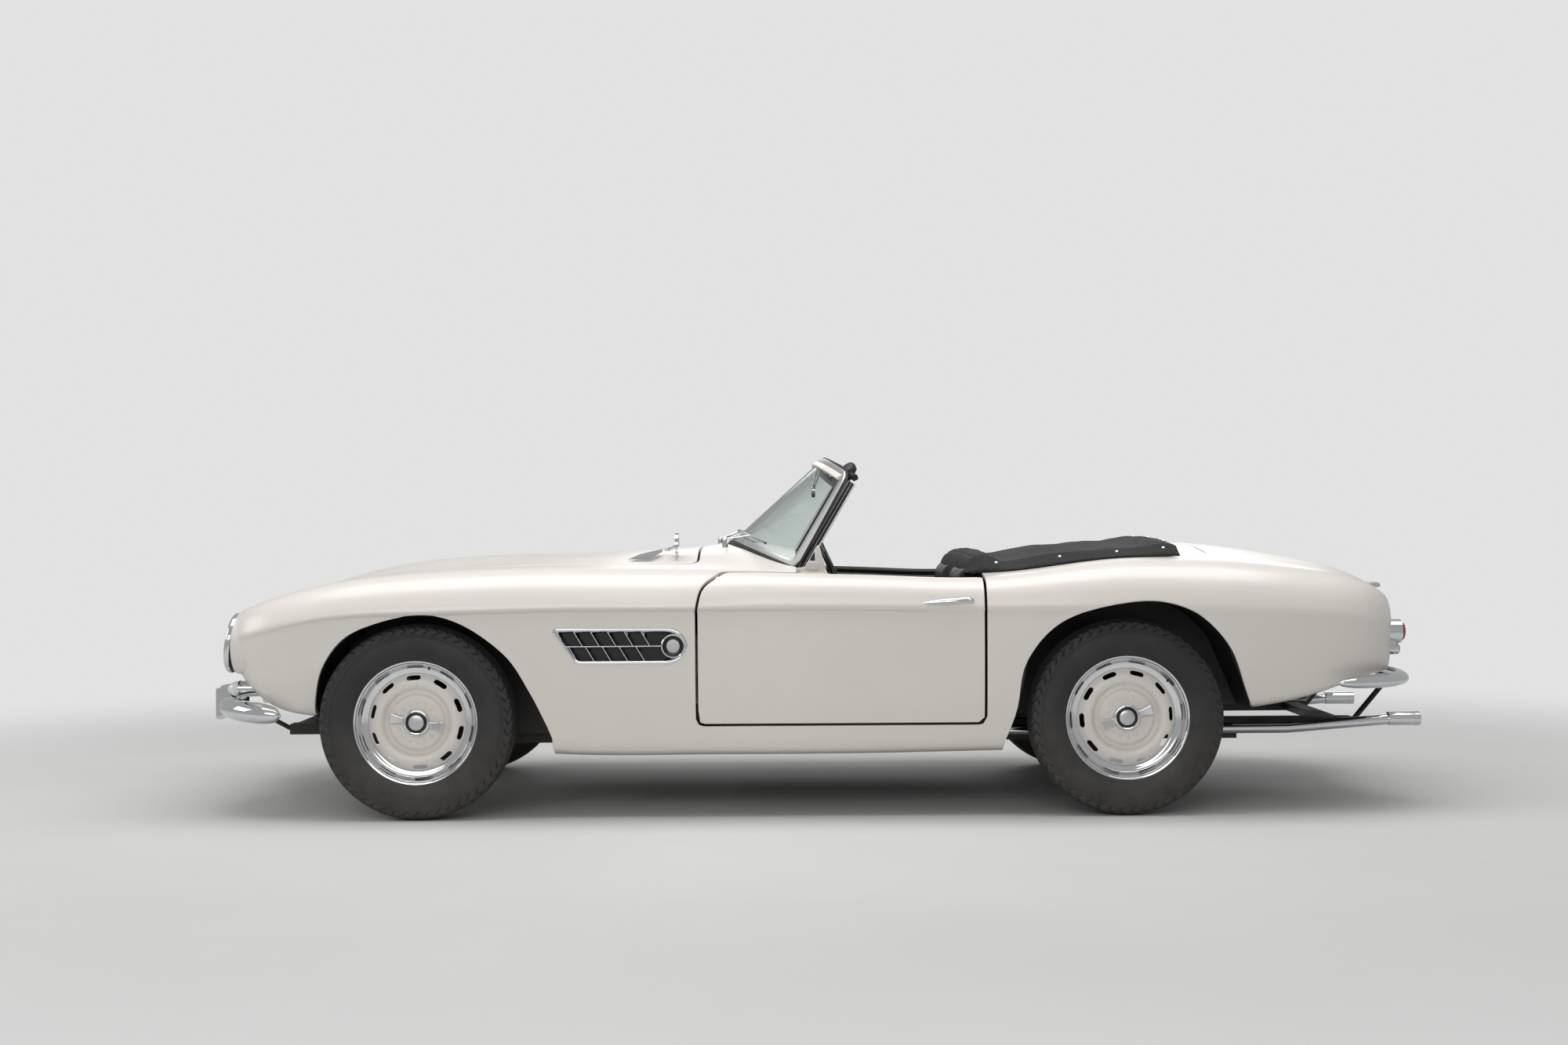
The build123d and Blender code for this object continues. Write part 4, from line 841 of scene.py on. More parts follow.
def spaced(points, gap, closed=False):
    """The same line with a point about every gap metres."""
    p = np.asarray(points, float)
    p = np.vstack([p, p[:1]]) if closed else p
    length = np.r_[0, np.cumsum(np.linalg.norm(np.diff(p, axis=0), axis=1))]
    count = max(2, int(round(length[-1] / gap)))
    at = np.linspace(0, length[-1], count + 1)[:-1 if closed else None]
    return np.column_stack([np.interp(at, length, p[:, k]) for k in range(p.shape[1])])


def facing(data, axis, place):
    """A turned part, made looking outboard, pointed along an axis and put in its place."""
    turn = Vector((0, -1, 0)).rotation_difference(Vector(axis)).to_matrix()
    return np.array([turn @ Vector(p) for p in data[0]]) + np.array(place), data[1]


def piece(name, data, finish_used, body="car", sharp=35.0):
    """A finished object that rides on a body."""
    made = build_mesh(name, data[0], data[1], finish=finish_used, sharp=sharp, outward=True)
    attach(made, body)
    return made


def pair(name, data, finish_used, body="car", sharp=35.0):
    """A piece for the left side and its mirror twin for the right."""
    mirror = (np.asarray(data[0], float) * (1, -1, 1), data[1])
    return [piece(f"{name}_{side}", shape, finish_used, body.replace("left", side), sharp)
            for side, shape in (("left", data), ("right", mirror))]


def bevelled(obj, width, segments=3, angle=40):
    """Rounds the sharp edges of a piece with a bevel modifier."""
    edge = obj.modifiers.new("edge", "BEVEL")
    edge.width, edge.segments, edge.limit_method, edge.angle_limit = width, segments, "ANGLE", math.radians(angle)
    return obj


def body_z(x, y):
    """The height of the body's top surface at a station and a distance from the middle."""
    section = on_body([(row_at(x), c) for c in range(WAIST_AT, TOP_AT + 1)])
    return float(np.interp(-abs(y), section[:, 1], section[:, 2]))


print("scuttle height:", round(body_z(-0.3, 0.3), 3))

# %% [markdown]
# ## Wheels and tyres
# A wheel is turned on a lathe, so each part is a profile of distances outboard of the wheel's centre plane and radii.
# The disc is a surface like the body's, which lets the same cutter open its ten slots with rolled edges. The tyre's
# profile is turned in 416 steps and single points sink to make the hooked notches of the shoulder and the zigzag
# grooves of the tread.

# %% Lathe


def lathe(profile, steps, sink=None):
    """Points and faces of a closed profile of (outboard, radius) in millimetres turned about the Y axis."""
    p = np.array(profile, float) / 1000
    angle = np.arange(steps)[:, None] * 2 * math.pi / steps
    out, radius = np.tile(p[:, 0], (steps, 1)), np.tile(p[:, 1], (steps, 1))
    if sink is not None:
        out, radius = sink(out, radius)
    return tube(np.stack([radius * np.cos(angle), -out, radius * np.sin(angle)], axis=2), closed=True)


def turned(angle, places):
    """Points turned about the Y axis."""
    c, s = math.cos(angle), math.sin(angle)
    p = np.asarray(places)
    return np.column_stack([p[:, 0] * c - p[:, 2] * s, p[:, 1], p[:, 0] * s + p[:, 2] * c])


def gather(*parts):
    """Several sets of points and faces as one."""
    places, faces = [], []
    for p, f in parts:
        start = len(places)
        places += [tuple(q) for q in p]
        faces += [tuple(v + start for v in face) for face in f]
    return np.array(places), faces


# where each wheel's centre is, and by how many degrees its spinner and its disc are turned
WHEELS = {"front_left": (AXLES[0], -0.7225, -10, 22), "front_right": (AXLES[0], 0.7225, 35, 5),
          "rear_left": (AXLES[1], -0.7125, 17, 4), "rear_right": (AXLES[1], 0.7125, -40, 12)}


def fit_wheel(name, data, place, finish_used, turn):
    """Puts a left-hand wheel part, turned by some degrees, on one of the four hubs."""
    x, y, _, _ = WHEELS[place]
    places, faces = turned(math.radians(turn), data[0]), data[1]
    if y > 0:
        places, faces = places * (-1, -1, 1), faces
    made = build_mesh(f"{name}_{place}", places + (x, y, AXLE_Z), faces, finish=finish_used, sharp=35, outward=True)
    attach(made, f"wheel_{place}")
    return made


# %% Tyre
sidewall = [(58, 205), (64, 207), (70, 216), (77, 232), (81.8, 252), (82.5, 268), (80.6, 284), (77.6, 296)]
sidewall = [*smooth_outline(sidewall, 2), (78.2, 297.4), (77.4, 298.8), (76.6, 301), (77.2, 302.4), (76.2, 303.8),
            (73.5, 311)]
shoulder = [(72.2, 315), (71, 318.5), (69.6, 322), (68, 325.5), (66, 329), (63.6, 332.2), (60.6, 334.8), (55, 337)]
crown = [(47, 338.8), (44.5, 339.2), (43.9, 332.2), (38.7, 332.6), (38.1, 339.9), (29, 340.9), (19.6, 341.6),
         (19.0, 334.6), (13.2, 334.8), (12.6, 341.9), (4.2, 342), (3.6, 336.5)]
half_tyre = [*sidewall, *shoulder, *crown]
inner_wall = [(-57, 205), (-76, 230), (-82, 268), (-77, 300), (-73.5, 311)]
inner_half = [(-a, r) for a, r in reversed([*shoulder, *crown])] + inner_wall[::-1]
tyre_profile = [*half_tyre, *inner_half]
first_shoulder, first_inner = len(sidewall), len(half_tyre) + len(crown) + len(shoulder) - 1
HOOK = (0, 1, 2, 3, 3, 2, 1, 0)
STEPS, PITCH = 416, 8
NOTCH_IN, NOTCH_ACROSS, ZIGZAG = 0.0042, 0.0030, 0.0022


def cut_tread(out, radius):
    """Sinks the shoulder notches and bends the grooves into zigzags."""
    step = np.arange(STEPS)
    for k, shift in enumerate(HOOK):
        notch = ((step + shift) % PITCH < 2)
        for column, sign in ((first_shoulder + k, 1), (first_inner - k, -1)):
            radius[notch, column] -= NOTCH_IN
            out[notch, column] -= sign * NOTCH_ACROSS
    bend = np.abs((step % PITCH) / PITCH - 0.5) * 4 - 1
    start = first_shoulder + len(shoulder)
    for column in [*range(start + 1, start + 5), *range(start + 6, start + 10)]:
        out[:, column] += ZIGZAG * bend
        out[:, first_shoulder + first_inner - column] += ZIGZAG * bend
    return out, radius


tyre_data = lathe(tyre_profile, STEPS, cut_tread)
# mould lines across the sidewall, every 30 degrees
line = [(76.2, 236), (80.6, 250), (82.0, 266), (80.4, 281), (77.8, 292)]
moulds = []
for k in range(12):
    p = np.array([(r / 1000 * math.cos(t), -(a + lift) / 1000, r / 1000 * math.sin(t))
                  for a, r in line for t, lift in ((-0.0032, -0.6), (0, 0.6), (0.0032, -0.6))])
    f = [(i * 3 + j, i * 3 + j + 1, i * 3 + j + 4, i * 3 + j + 3) for i in range(len(line) - 1) for j in range(2)]
    moulds.append((turned(math.radians(30 * k + 9), p), f))
tyre_data = gather(tyre_data, *moulds)
print("tyre points:", len(tyre_data[0]))

# %% Rim, disc and hub
rim_profile = [(-68, 220.5), (-63, 220.5), (-60, 204), (-38, 203), (-26, 186), (20, 186), (32, 203), (60, 204),
               (63, 219), (64.6, 221), (67, 221.4), (69.2, 220), (70, 217), (69.6, 213.4), (68, 210.6), (65.4, 209.2),
               (64.6, 208.4), (64.8, 206.6), (64.2, 204.4), (61.6, 202.4), (56, 200.4), (44, 196.5), (38, 193),
               (34.5, 188), (33, 182), (32.2, 176), (30.5, 172.5), (27, 171), (23, 171), (17, 181), (-24, 181),
               (-36, 198), (-58, 198), (-66, 213)]
rim_data = lathe(rim_profile, 144)

disc_line = [(173.0, 24.0), (170, 27.5), (166.5, 31), (161, 36.5), (154.5, 41.8), (147, 45.6), (138, 47.8),
             (129.5, 46.8), (122.5, 42.6), (117.5, 36), (114, 29.5), (109, 25.6), (103.5, 25.2), (99, 27.6),
             (95.5, 32), (91.5, 35), (86, 36.2), (66, 37.2), (50, 37.8), (44, 38)]
line = smooth_outline(disc_line, 2) / 1000
TURN = 360
angles = np.linspace(0, 2 * math.pi, TURN + 1)
disc_table = np.stack([line[:, :1] * np.cos(angles), -line[:, 1:] * np.ones(TURN + 1), line[:, :1] * np.sin(angles)],
                      axis=2)
disc_normals = np.cross(np.gradient(disc_table, axis=1), np.gradient(disc_table, axis=0))
disc_normals /= np.linalg.norm(disc_normals, axis=2, keepdims=True)
disc_normals *= -np.sign(disc_normals[-1, 0, 1])
SLOT_R, SLOT_LONG, SLOT_WIDE, SLOTS = 0.1575, 0.053, 0.0195, 10


def slot_field(at, uv):
    """Distance outside the nearest of the ten slots."""
    turn = 2 * math.pi / SLOTS
    angle = (np.arctan2(at[:, 2], at[:, 0]) + turn / 2) % turn - turn / 2
    radius = np.hypot(at[:, 0], at[:, 2])
    along = np.maximum(np.abs(angle * SLOT_R) - (SLOT_LONG - SLOT_WIDE) / 2, 0)
    return np.hypot(along, radius - SLOT_R) - SLOT_WIDE / 2


disc = Patch(range(len(line)), range(0, TURN + 1, 3), disc_table, disc_normals)
disc.keep(slot_field)
disc.faces = [tuple(reversed(face)) for face in disc.faces]
disc_object, _ = hemmed(disc, "disc_pattern", 0.0016, 0.004)
disc_mesh = disc_object.data
disc_data = (np.array([v.co for v in disc_mesh.vertices]), [tuple(f.vertices) for f in disc_mesh.polygons])
bpy.data.objects.remove(disc_object)
hub_data = lathe([(-7, 24), (-7, 47), (30, 48), (40, 48), (43, 46), (43, 24)], 64)
bump_line = [(-2, 0.3), (-2, 7.5), (0.4, 7.3), (2.4, 6.0), (3.7, 3.6), (4.1, 1.2), (4.2, 0.3)]
places, faces = lathe(bump_line, 16)
places = places + (0.068, -0.0366, 0)
hub_data = gather(hub_data, *((turned(2 * math.pi * k / 16, places), faces) for k in range(16)))

# %% Two-eared spinner, plain centre disc and valve
ring_data = lathe([(41.5, 8), (41.5, 44), (43, 46.5), (50, 46.5), (54.5, 44.5), (57, 41.5), (57.4, 38.5), (56.2, 37.2),
                   (53, 36.6), (50, 36), (50, 8)], 96)
collar_data = lathe([(50, 8), (50, 36.5), (54.2, 36.4), (55.2, 34), (55.8, 28), (55.8, 8)], 96)
cap_data = lathe([(54, 0.2), (54, 27), (56.6, 26.6), (57.8, 24.5), (59.2, 16), (59.8, 8), (60, 0.2)], 96)
ear_rows = [(36, 13, 41, 53), (50, 10.5, 41.5, 52.5), (66, 12.5, 43, 54), (82, 16, 46, 56.5), (93, 18.5, 49, 58.5)]
ear = tube(np.array([[(r, -back, -wide), (r, -face, -wide), (r, -face, wide), (r, -back, wide)]
                     for r, wide, back, face in ear_rows]) / 1000)
ears = gather(ear, (turned(math.pi, ear[0]), ear[1]))
valve_data = lathe([(0, 0.3), (0, 3.4), (16, 3.6), (17, 2.8), (25, 2.6), (25.6, 0.3)], 12)
lean = Matrix.Rotation(math.radians(-62), 3, "X")
valve_data = (np.array([lean @ Vector(p) for p in valve_data[0]]) + (0, -0.036, 0.1885), valve_data[1])
for place, (_, _, ear_turn, slot_turn) in WHEELS.items():
    for name, data, used, turn in (
            ("tyre_tread", tyre_data, rubber, slot_turn), ("rim_band", rim_data, chrome, 0),
            ("wheel_disc", disc_data, wheel_enamel, slot_turn), ("wheel_hub", hub_data, wheel_enamel, slot_turn),
            ("spinner_ring", ring_data, chrome, 0), ("spinner_collar", collar_data, plastic, 0),
            ("spinner_cap", cap_data, alloy, 0), ("tyre_valve", valve_data, rubber_and_shade_black, slot_turn * 2 - 57)):
        fit_wheel(name, data, place, used, turn)
    bevelled(fit_wheel("spinner_ears", ears, place, chrome, ear_turn), 0.0028)
    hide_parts(f"tyre_{place}")
    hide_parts(f"wheel_{place}")
    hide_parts(f"spinner_{place}")

# %% [markdown]
# ## Windscreen
# The screen is a ruled surface between two curves that wrap round, one on the scuttle and a shorter one at the
# header. Everything on it is placed by two numbers: how far across it is and how far up. The polished rail is one
# section carried right round the rim, so its corners have no joints. Behind each post stand the black seals that the
# side glass shuts against.

# %% The glass surface
BASE_END, BASE_MID = (-0.078, 0.600, 0.868), (-0.300, 0.0, 0.958)
TOP_END, TOP_MID = (0.112, 0.575, 1.190), (0.028, 0.0, 1.254)
WRAP = 2.8  # 2 is a plain arc; more keeps the middle flat and wraps the ends


def screen_arc(end, mid, across):
    """A point on a wrapped line that passes through its middle and ends at across = -1 and 1."""
    end, mid = np.array(end), np.array(mid)
    share = abs(across) ** WRAP
    return mid + (end - mid) * (share, across, share)


def on_screen(across, up):
    """A point on the glass."""
    return screen_arc(BASE_END, BASE_MID, across) * (1 - up) + screen_arc(TOP_END, TOP_MID, across) * up


def screen_normal(across, up):
    """The way the glass looks, outwards and forwards."""
    a, u = min(max(across, -0.98), 0.98), min(max(up, 0.02), 0.98)
    n = np.cross(on_screen(a, u + 0.01) - on_screen(a, u), on_screen(a + 0.01, u) - on_screen(a, u))
    n = n / np.linalg.norm(n)
    return n if n[0] < 0 else -n


SCREEN_HALF, SCREEN_TALL, SILL = 0.64, 0.37, 0.020
rim = soft_box(-SCREEN_HALF, SCREEN_HALF, SILL, SCREEN_TALL, 0.020, 5)
rim = spaced(rim, 0.012, closed=True) / (SCREEN_HALF, SCREEN_TALL)
rim_path = [on_screen(a, u) for a, u in rim]
rim_up = [screen_normal(a, u) for a, u in rim]

# %% The pane
PANE = 0.0025  # half the thickness of the glass
up_steps = np.linspace(0.03, 0.985, 15)
rings = []
for a in np.linspace(-0.985, 0.985, 65):
    out = [PANE * screen_normal(a, u) for u in up_steps]
    middle = [on_screen(a, u) for u in up_steps]
    rings.append([p + n for p, n in zip(middle, out)] + [p - n for p, n in zip(middle[::-1], out[::-1])])
pane = piece("windscreen_pane", tube(rings), window_glass)
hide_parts("windscreen_glass")

# %% Rail, rubber and header
rail_section = [(-0.025, -0.005), (0.006, -0.008), (0.0085, -0.004), (0.0088, 0.004), (0.0075, 0.0075),
                (0.0045, 0.0088), (-0.006, 0.0094), (-0.016, 0.0092), (-0.0215, 0.0084), (-0.0240, 0.0066),
                (-0.0252, 0.003)]
rail = piece("windscreen_rail", swept(rim_path, rail_section, rim_up, closed=True), alloy)
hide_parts("windscreen_frame")
bead_section = [(-0.032, 0.0005), (-0.024, 0.0005), (-0.024, 0.0066), (-0.028, 0.0062), (-0.0315, 0.004)]
piece("windscreen_glass_bead", swept(rim_path, bead_section, rim_up, closed=True), rubber_and_shade_black)
foot_line = [on_screen(a, -0.015) for a in np.linspace(-1.0, 1.0, 90)]
foot_up = [screen_normal(a, 0.02) for a in np.linspace(-1.0, 1.0, 90)]
foot_section = [(-0.022, -0.010), (0.022, -0.010), (0.026, -0.004), (0.026, 0.004), (0.018, 0.0065), (0.008, 0.0105),
                (-0.006, 0.0115), (-0.018, 0.008), (-0.023, 0.0)]
piece("windscreen_foot_rubber", swept(foot_line, [(-x, y) for x, y in foot_section], foot_up), rubber_and_shade_black)
header_line = [on_screen(a, 1.02) for a in np.linspace(-0.995, 0.995, 80)]
cap_section = soft_box(-0.014, 0.030, -0.004, 0.0068, 0.004)
piece("header_cap", swept(header_line, [(-x, y) for x, y in cap_section], (-0.45, 0, 0.9)), enamel)
seat_line = np.array(header_line) + (0.038, 0, -0.009)
piece("header_hood_seat", swept(seat_line, soft_box(-0.010, 0.012, -0.010, 0.011, 0.006), (-0.4, 0, 0.9)), rubber_and_shade_black)
print("windscreen rail points:", len(rim_path), "header height:", round(float(header_line[40][2]), 3))

# %% Posts and their brackets
post = spaced([np.array(BASE_END) * (1, -1, 1) - (0.006, 0, 0.010), np.array(TOP_END) * (1, -1, 1)], 0.03)
OUTBOARD = (0, -1, 0)
# each strip's finish, front, rear, inner and outer faces, and the radius of its edges
STRIPS = {"seal_1": (rubber_and_shade_black, 0.0078, 0.0200, -0.010, 0.0035, 0.003),
          "seal_2": (rubber_and_shade_black, 0.0222, 0.0325, -0.012, 0.0015, 0.003),
          "seal_3": (rubber_and_shade_black, 0.0342, 0.0435, -0.014, -0.001, 0.003),
          "channel": (alloy, 0.0200, 0.0222, -0.010, 0.0024, 0.0006),
          "channel_rear": (alloy, 0.0325, 0.0342, -0.011, 0.0006, 0.0005),
          "cover": (enamel, 0.0435, 0.0500, -0.020, 0.0012, 0.0018),
          "inner": (crash_roll, -0.004, 0.044, -0.026, -0.0145, 0.004)}
for name, (used, *strip) in STRIPS.items():
    pair(f"post_{name}", swept(post, soft_box(*strip), OUTBOARD), used)

bracket_side = [(-0.092, 0.848), (0.050, 0.846), (0.049, 0.852), (0.034, 0.905), (0.021, 0.952), (0.012, 0.946),
                (-0.030, 0.872), (-0.092, 0.866)]
window = [(-0.014, 0.896), (0.006, 0.894), (0.004, 0.928)]
bracket_side, window = rounded(bracket_side, 0.006, 2), rounded(window, 0.004, 3)


def plate(outline, y0, y1):
    """A flat plate with an outline drawn from the side."""
    return tube([[(x, y, z) for x, z in outline] for y in (y0, y1)])


for web in pair("post_bracket", plate(bracket_side, -0.636, -0.622), enamel):
    bevelled(web, 0.0025)
# a flat black plate on the bracket's face, in the outline of its window: painted shade for a recess that is not cut
for web in pair("post_bracket_recess", plate(window, -0.6372, -0.6355), rubber_and_shade_black):
    bevelled(web, 0.0006, 2)
box_side = rounded([(-0.034, 0.864), (0.018, 0.861), (0.018, 0.888), (-0.022, 0.891)], 0.006, 3)
for box in pair("post_bracket_box", plate(box_side, -0.642, -0.636), enamel):
    bevelled(box, 0.002, 2)
foot = [(-0.100, -0.630, 0.852), (-0.02, -0.630, 0.8495), (0.052, -0.630, 0.846)]
pair("post_bracket_foot", swept(spaced(foot, 0.02), soft_box(-0.020, 0.020, -0.006, 0.004, 0.003), (0, 0, 1)), enamel)
print("post length:", round(float(np.linalg.norm(post[-1] - post[0])), 3))

# %% Sun visors and the mirror's stem
visor_side = smooth_outline([(0.090, 1.222), (0.098, 1.242), (0.115, 1.248), (0.138, 1.236), (0.158, 1.209),
                             (0.160, 1.184), (0.152, 1.164), (0.134, 1.163), (0.116, 1.180), (0.101, 1.200),
                             (0.090, 1.222)], 3)[:-1]
visor_middle = visor_side.mean(axis=0)
for side, y0, y1 in (("left", -0.530, -0.060), ("right", 0.060, 0.530)):
    visor_path = spaced([(visor_middle[0], y0, visor_middle[1]), (visor_middle[0], y1, visor_middle[1])], 0.012)
    share = np.minimum(np.arange(len(visor_path)), np.arange(len(visor_path))[::-1]) / 3.0
    squeeze = np.tile(np.sqrt(1 - (1 - np.clip(share, 0.08, 1)) ** 2)[:, None], (1, 2))
    section = [(visor_middle[0] - x, z - visor_middle[1]) for x, z in visor_side]
    piece(f"sun_visor_{side}", swept(visor_path, section, (0, 0, 1), sizes=squeeze), crash_roll)
    for k, y in enumerate((y0 + 0.07, y1 - 0.07)):
        arm = [on_screen(y / 0.62, 1.0) + (0.012, 0, -0.004), (0.070, y, 1.222), (0.112, y, 1.218)]
        piece(f"visor_arm_{side}_{k + 1}", swept(smooth_outline(arm, 5), oval(0.0045, 0.0045, 12), (0, 1, 0)), chrome)
stem = smooth_outline([(0.034, 0, 1.247), (0.030, 0, 1.215), (0.020, 0, 1.185), (0.012, 0, 1.160)], 5)
piece("mirror_stem", swept(stem, oval(0.005, 0.005, 12), (1, 0, 0)), chrome)
print("visors and stem fitted")

# %% [markdown]
# ## Side vents
# The vent behind each front wheel lets hot air out of the engine bay. A chrome frame lies in the wing, with slanted
# gills above and below a bar, and a boss at its rear end that would carry a badge; here it is a plain disc. The frame
# follows the flank by taking its depth from the body's own sections.

# %% Vent frame, gills and boss
flank = {}


def on_flank(x, z, lift=0.0):
    """A point on the left flank, lifted outboard."""
    key = round(x, 3)
    if key not in flank:
        section = on_body([(row_at(x), c) for c in range(FOOT_AT, TOP_AT)])
        flank[key] = section[:, 2], section[:, 1]
    return np.array([x, float(np.interp(z, *flank[key])) - lift, z])


vent_rim = spaced(vent_side, 0.008, closed=True)
vent_path = np.array([on_flank(x, z, -0.001) for x, z in vent_rim])
FRAME_SECTION = [(-0.0115, -0.016), (0.0045, -0.006), (0.0055, -0.001), (0.0045, 0.0028), (0.001, 0.0048),
                 (-0.003, 0.0045), (-0.0065, 0.0018), (-0.0095, -0.004), (-0.0125, -0.014)]


def framed(path, outwards):
    """The frame's section carried round a closed line, with its tail always on the same side of it."""
    turn = np.cross(path[1] - path[0], outwards) @ (path[0] - path.mean(axis=0))
    section = FRAME_SECTION if turn > 0 else [(-x, y) for x, y in FRAME_SECTION]
    return swept(path, section, outwards, closed=True)


for ring in pair("vent_frame", framed(vent_path, OUTBOARD), chrome):
    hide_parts("side_vents")
# a black plate 20 to 30 mm inside the vent's outline: painted shade for the dark bay seen through the gills
pair("vent_shade_plate", tube([[on_flank(x, z, lift) for x, z in vent_rim] for lift in (-0.020, -0.030)]), rubber_and_shade_black)

BAR_Z, BOSS, GILL_PITCH, GILL_SLANT = 0.604, (-0.492, 0.604), 0.0585, 0.030
GILL = [(0.0, -0.0025), (0.0026, -0.0018), (0.0140, -0.0182), (0.0122, -0.0190)]
gills = []
for row_low, row_high, first in ((BAR_Z + 0.002, 0.657, -0.868), (0.551, BAR_Z - 0.002, -0.826)):
    for k in range(6):
        x_low = first + GILL_PITCH * k
        if x_low <= BOSS[0] - 0.060:
            ends = (x_low, row_low), (x_low - GILL_SLANT, row_high)
            gills.append(tube([[on_flank(x + dx, z, lift) for dx, lift in GILL] for x, z in ends]))
pair("vent_gills", gather(*gills), chrome, sharp=20)
bar_line = [on_flank(x, BAR_Z, -0.001) for x in np.linspace(-0.868, -0.530, 24)]
pair("vent_bar", swept(bar_line, oval(0.0022, 0.0030, 12), OUTBOARD), chrome)
boss_ring = lathe([(-16, 20), (-16, 42.5), (-1, 42.5), (2.5, 41.6), (4.2, 39.4), (3.2, 36.8), (0.4, 35.4), (-2, 34),
                   (-2, 20)], 72)
boss_black = lathe([(-14, 12), (-14, 35), (-0.6, 35), (0.8, 33), (0.8, 26), (-0.4, 24), (-0.4, 12)], 72)
boss_disc = lathe([(-12, 0.2), (-12, 23.6), (0.2, 23.6), (1.6, 22.4), (2.2, 12), (2.4, 0.2)], 72)
seat = on_flank(*BOSS, 0.0)
for name, data, used in (("vent_boss_ring", boss_ring, chrome), ("vent_boss_surround", boss_black, plastic),
                         ("vent_boss_disc", boss_disc, alloy)):
    pair(name, (np.array(data[0]) + seat, data[1]), used)
print("vent gills:", len(gills))

# %% [markdown]
# ## Grilles
# The two grilles lie in the nose, which falls away towards the lamps. Their frames and slats follow it: each point is
# drawn from the front and pushed back until it meets the body's own sections.

# %% Grille frames, slats and nose disc


def nose_x(y, z, back=0.0):
    """Where the nose meets a line that runs straight back at y and z, set back a little."""
    ahead_of, behind = -2.23, -1.90
    for _ in range(11):
        x = (ahead_of + behind) / 2
        section = on_body([(row_at(x), c) for c in range(FOOT_AT, TOP_AT + 1)])
        ring = [*section[:, 1:], (0.0, section[-1, 2]), (0.0, section[0, 2])]
        if float(inside(np.array(ring), np.array([-abs(y)]), np.array([z]))[0]) > 0:
            behind = x
        else:
            ahead_of = x
    return np.array([behind + back, y, z])


AHEAD = (-1, 0, 0)
grille_rim = spaced(grille_front, 0.009, closed=True)
grille_path = np.array([nose_x(-y, z) for y, z in grille_rim])
for ring in pair("grille_frame", framed(grille_path, AHEAD), chrome):
    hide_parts("front_grilles")
slats = []
for y in np.linspace(GRILLE_Y[0] + 0.034, GRILLE_Y[1] - 0.034, 12):
    reach = min(y - GRILLE_Y[0], GRILLE_Y[1] - y, GRILLE_H / 2)
    tall = math.sqrt(max((GRILLE_H / 2) ** 2 - (GRILLE_H / 2 - reach) ** 2, 0)) - 0.003
    line = [nose_x(-y, GRILLE_Z + t * tall, 0.012) for t in np.linspace(-1, 1, 9)]
    slats.append(swept(line, soft_box(-0.0016, 0.0016, -0.011, 0.009, 0.0012), AHEAD))
pair("grille_slats", gather(*slats), chrome)
# a black plate 50 to 56 mm behind the grille's outline: painted shade seen between the slats
pair("grille_shade_plate", tube([grille_path + (back, 0, 0) for back in (0.050, 0.056)]), rubber_and_shade_black)
nose_disc = lathe([(-9, 0.3), (-9, 29), (1.4, 29), (3.4, 27.8), (3.8, 25.5), (2.6, 24), (3.0, 12), (3.2, 0.3)], 64)
disc_seat = nose_x(-0.004, 0.704) * (1, 0, 1)
tilt_down = nose_x(-0.004, 0.722) - nose_x(-0.004, 0.690)
disc_axis = np.cross(tilt_down, (0, 1, 0))
disc_axis = tuple(disc_axis / np.linalg.norm(disc_axis) * (1 if disc_axis[0] < 0 else -1))
piece("nose_disc", facing(nose_disc, disc_axis, disc_seat), chrome)
pillar = [nose_x(-0.004, z) * (1, 0, 1) for z in np.linspace(0.510, 0.650, 29)]
piece("grille_pillar", swept(pillar, soft_box(-0.031, 0.031, -0.008, 0.0016, 0.0012), AHEAD), enamel)
tail_middle = half[-1].mean(axis=0) * (1, 0, 1)
piece("tail_disc", facing(nose_disc, (1, 0, 0), tail_middle), chrome)
print("grille from x", round(float(grille_path[:, 0].min()), 3), "to", round(float(grille_path[:, 0].max()), 3))

# %% [markdown]
# ## Lamps
# A headlamp is a turned rim with a domed and fluted glass, a mirror bowl behind it and a bulb. The flutes are ripples
# in the glass itself, so they catch the light as moulded glass does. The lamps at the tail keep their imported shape.

# %% Headlamps
lamp_rim = lathe([(-55, 88.5), (-55, 99), (13.5, 99), (14, 105.6), (17, 107.2), (23, 107.4), (29, 105.6), (33, 101.4),
                  (34.8, 95.5), (33.8, 90), (29, 87.4), (14, 88.5)], 120)
bowl = lathe([(-62, 8), (-66, 8), (-66, 12), (-58, 40), (-40, 66), (-14, 84), (20, 87.6), (20, 85.8), (-12, 82),
              (-38, 64), (-55, 39), (-62, 12)], 96)
glass_line = [(25 + 11.5 * math.cos(r / 86 * math.pi / 2), r) for r in np.linspace(0.4, 86, 26)]
glass_in = [(a - 2.6, r) for a, r in glass_line[::-1]]


def flute(out, radius):
    """Upright ripples that fade towards the rim."""
    steps = out.shape[0]
    across = radius * np.cos(np.arange(steps) * 2 * math.pi / steps)[:, None]
    fade = np.clip((0.080 - radius) / 0.02, 0, 1) * np.clip(radius / 0.012, 0, 1)
    return out + 0.0006 * np.cos(across * 2 * math.pi / 0.011) * fade, radius


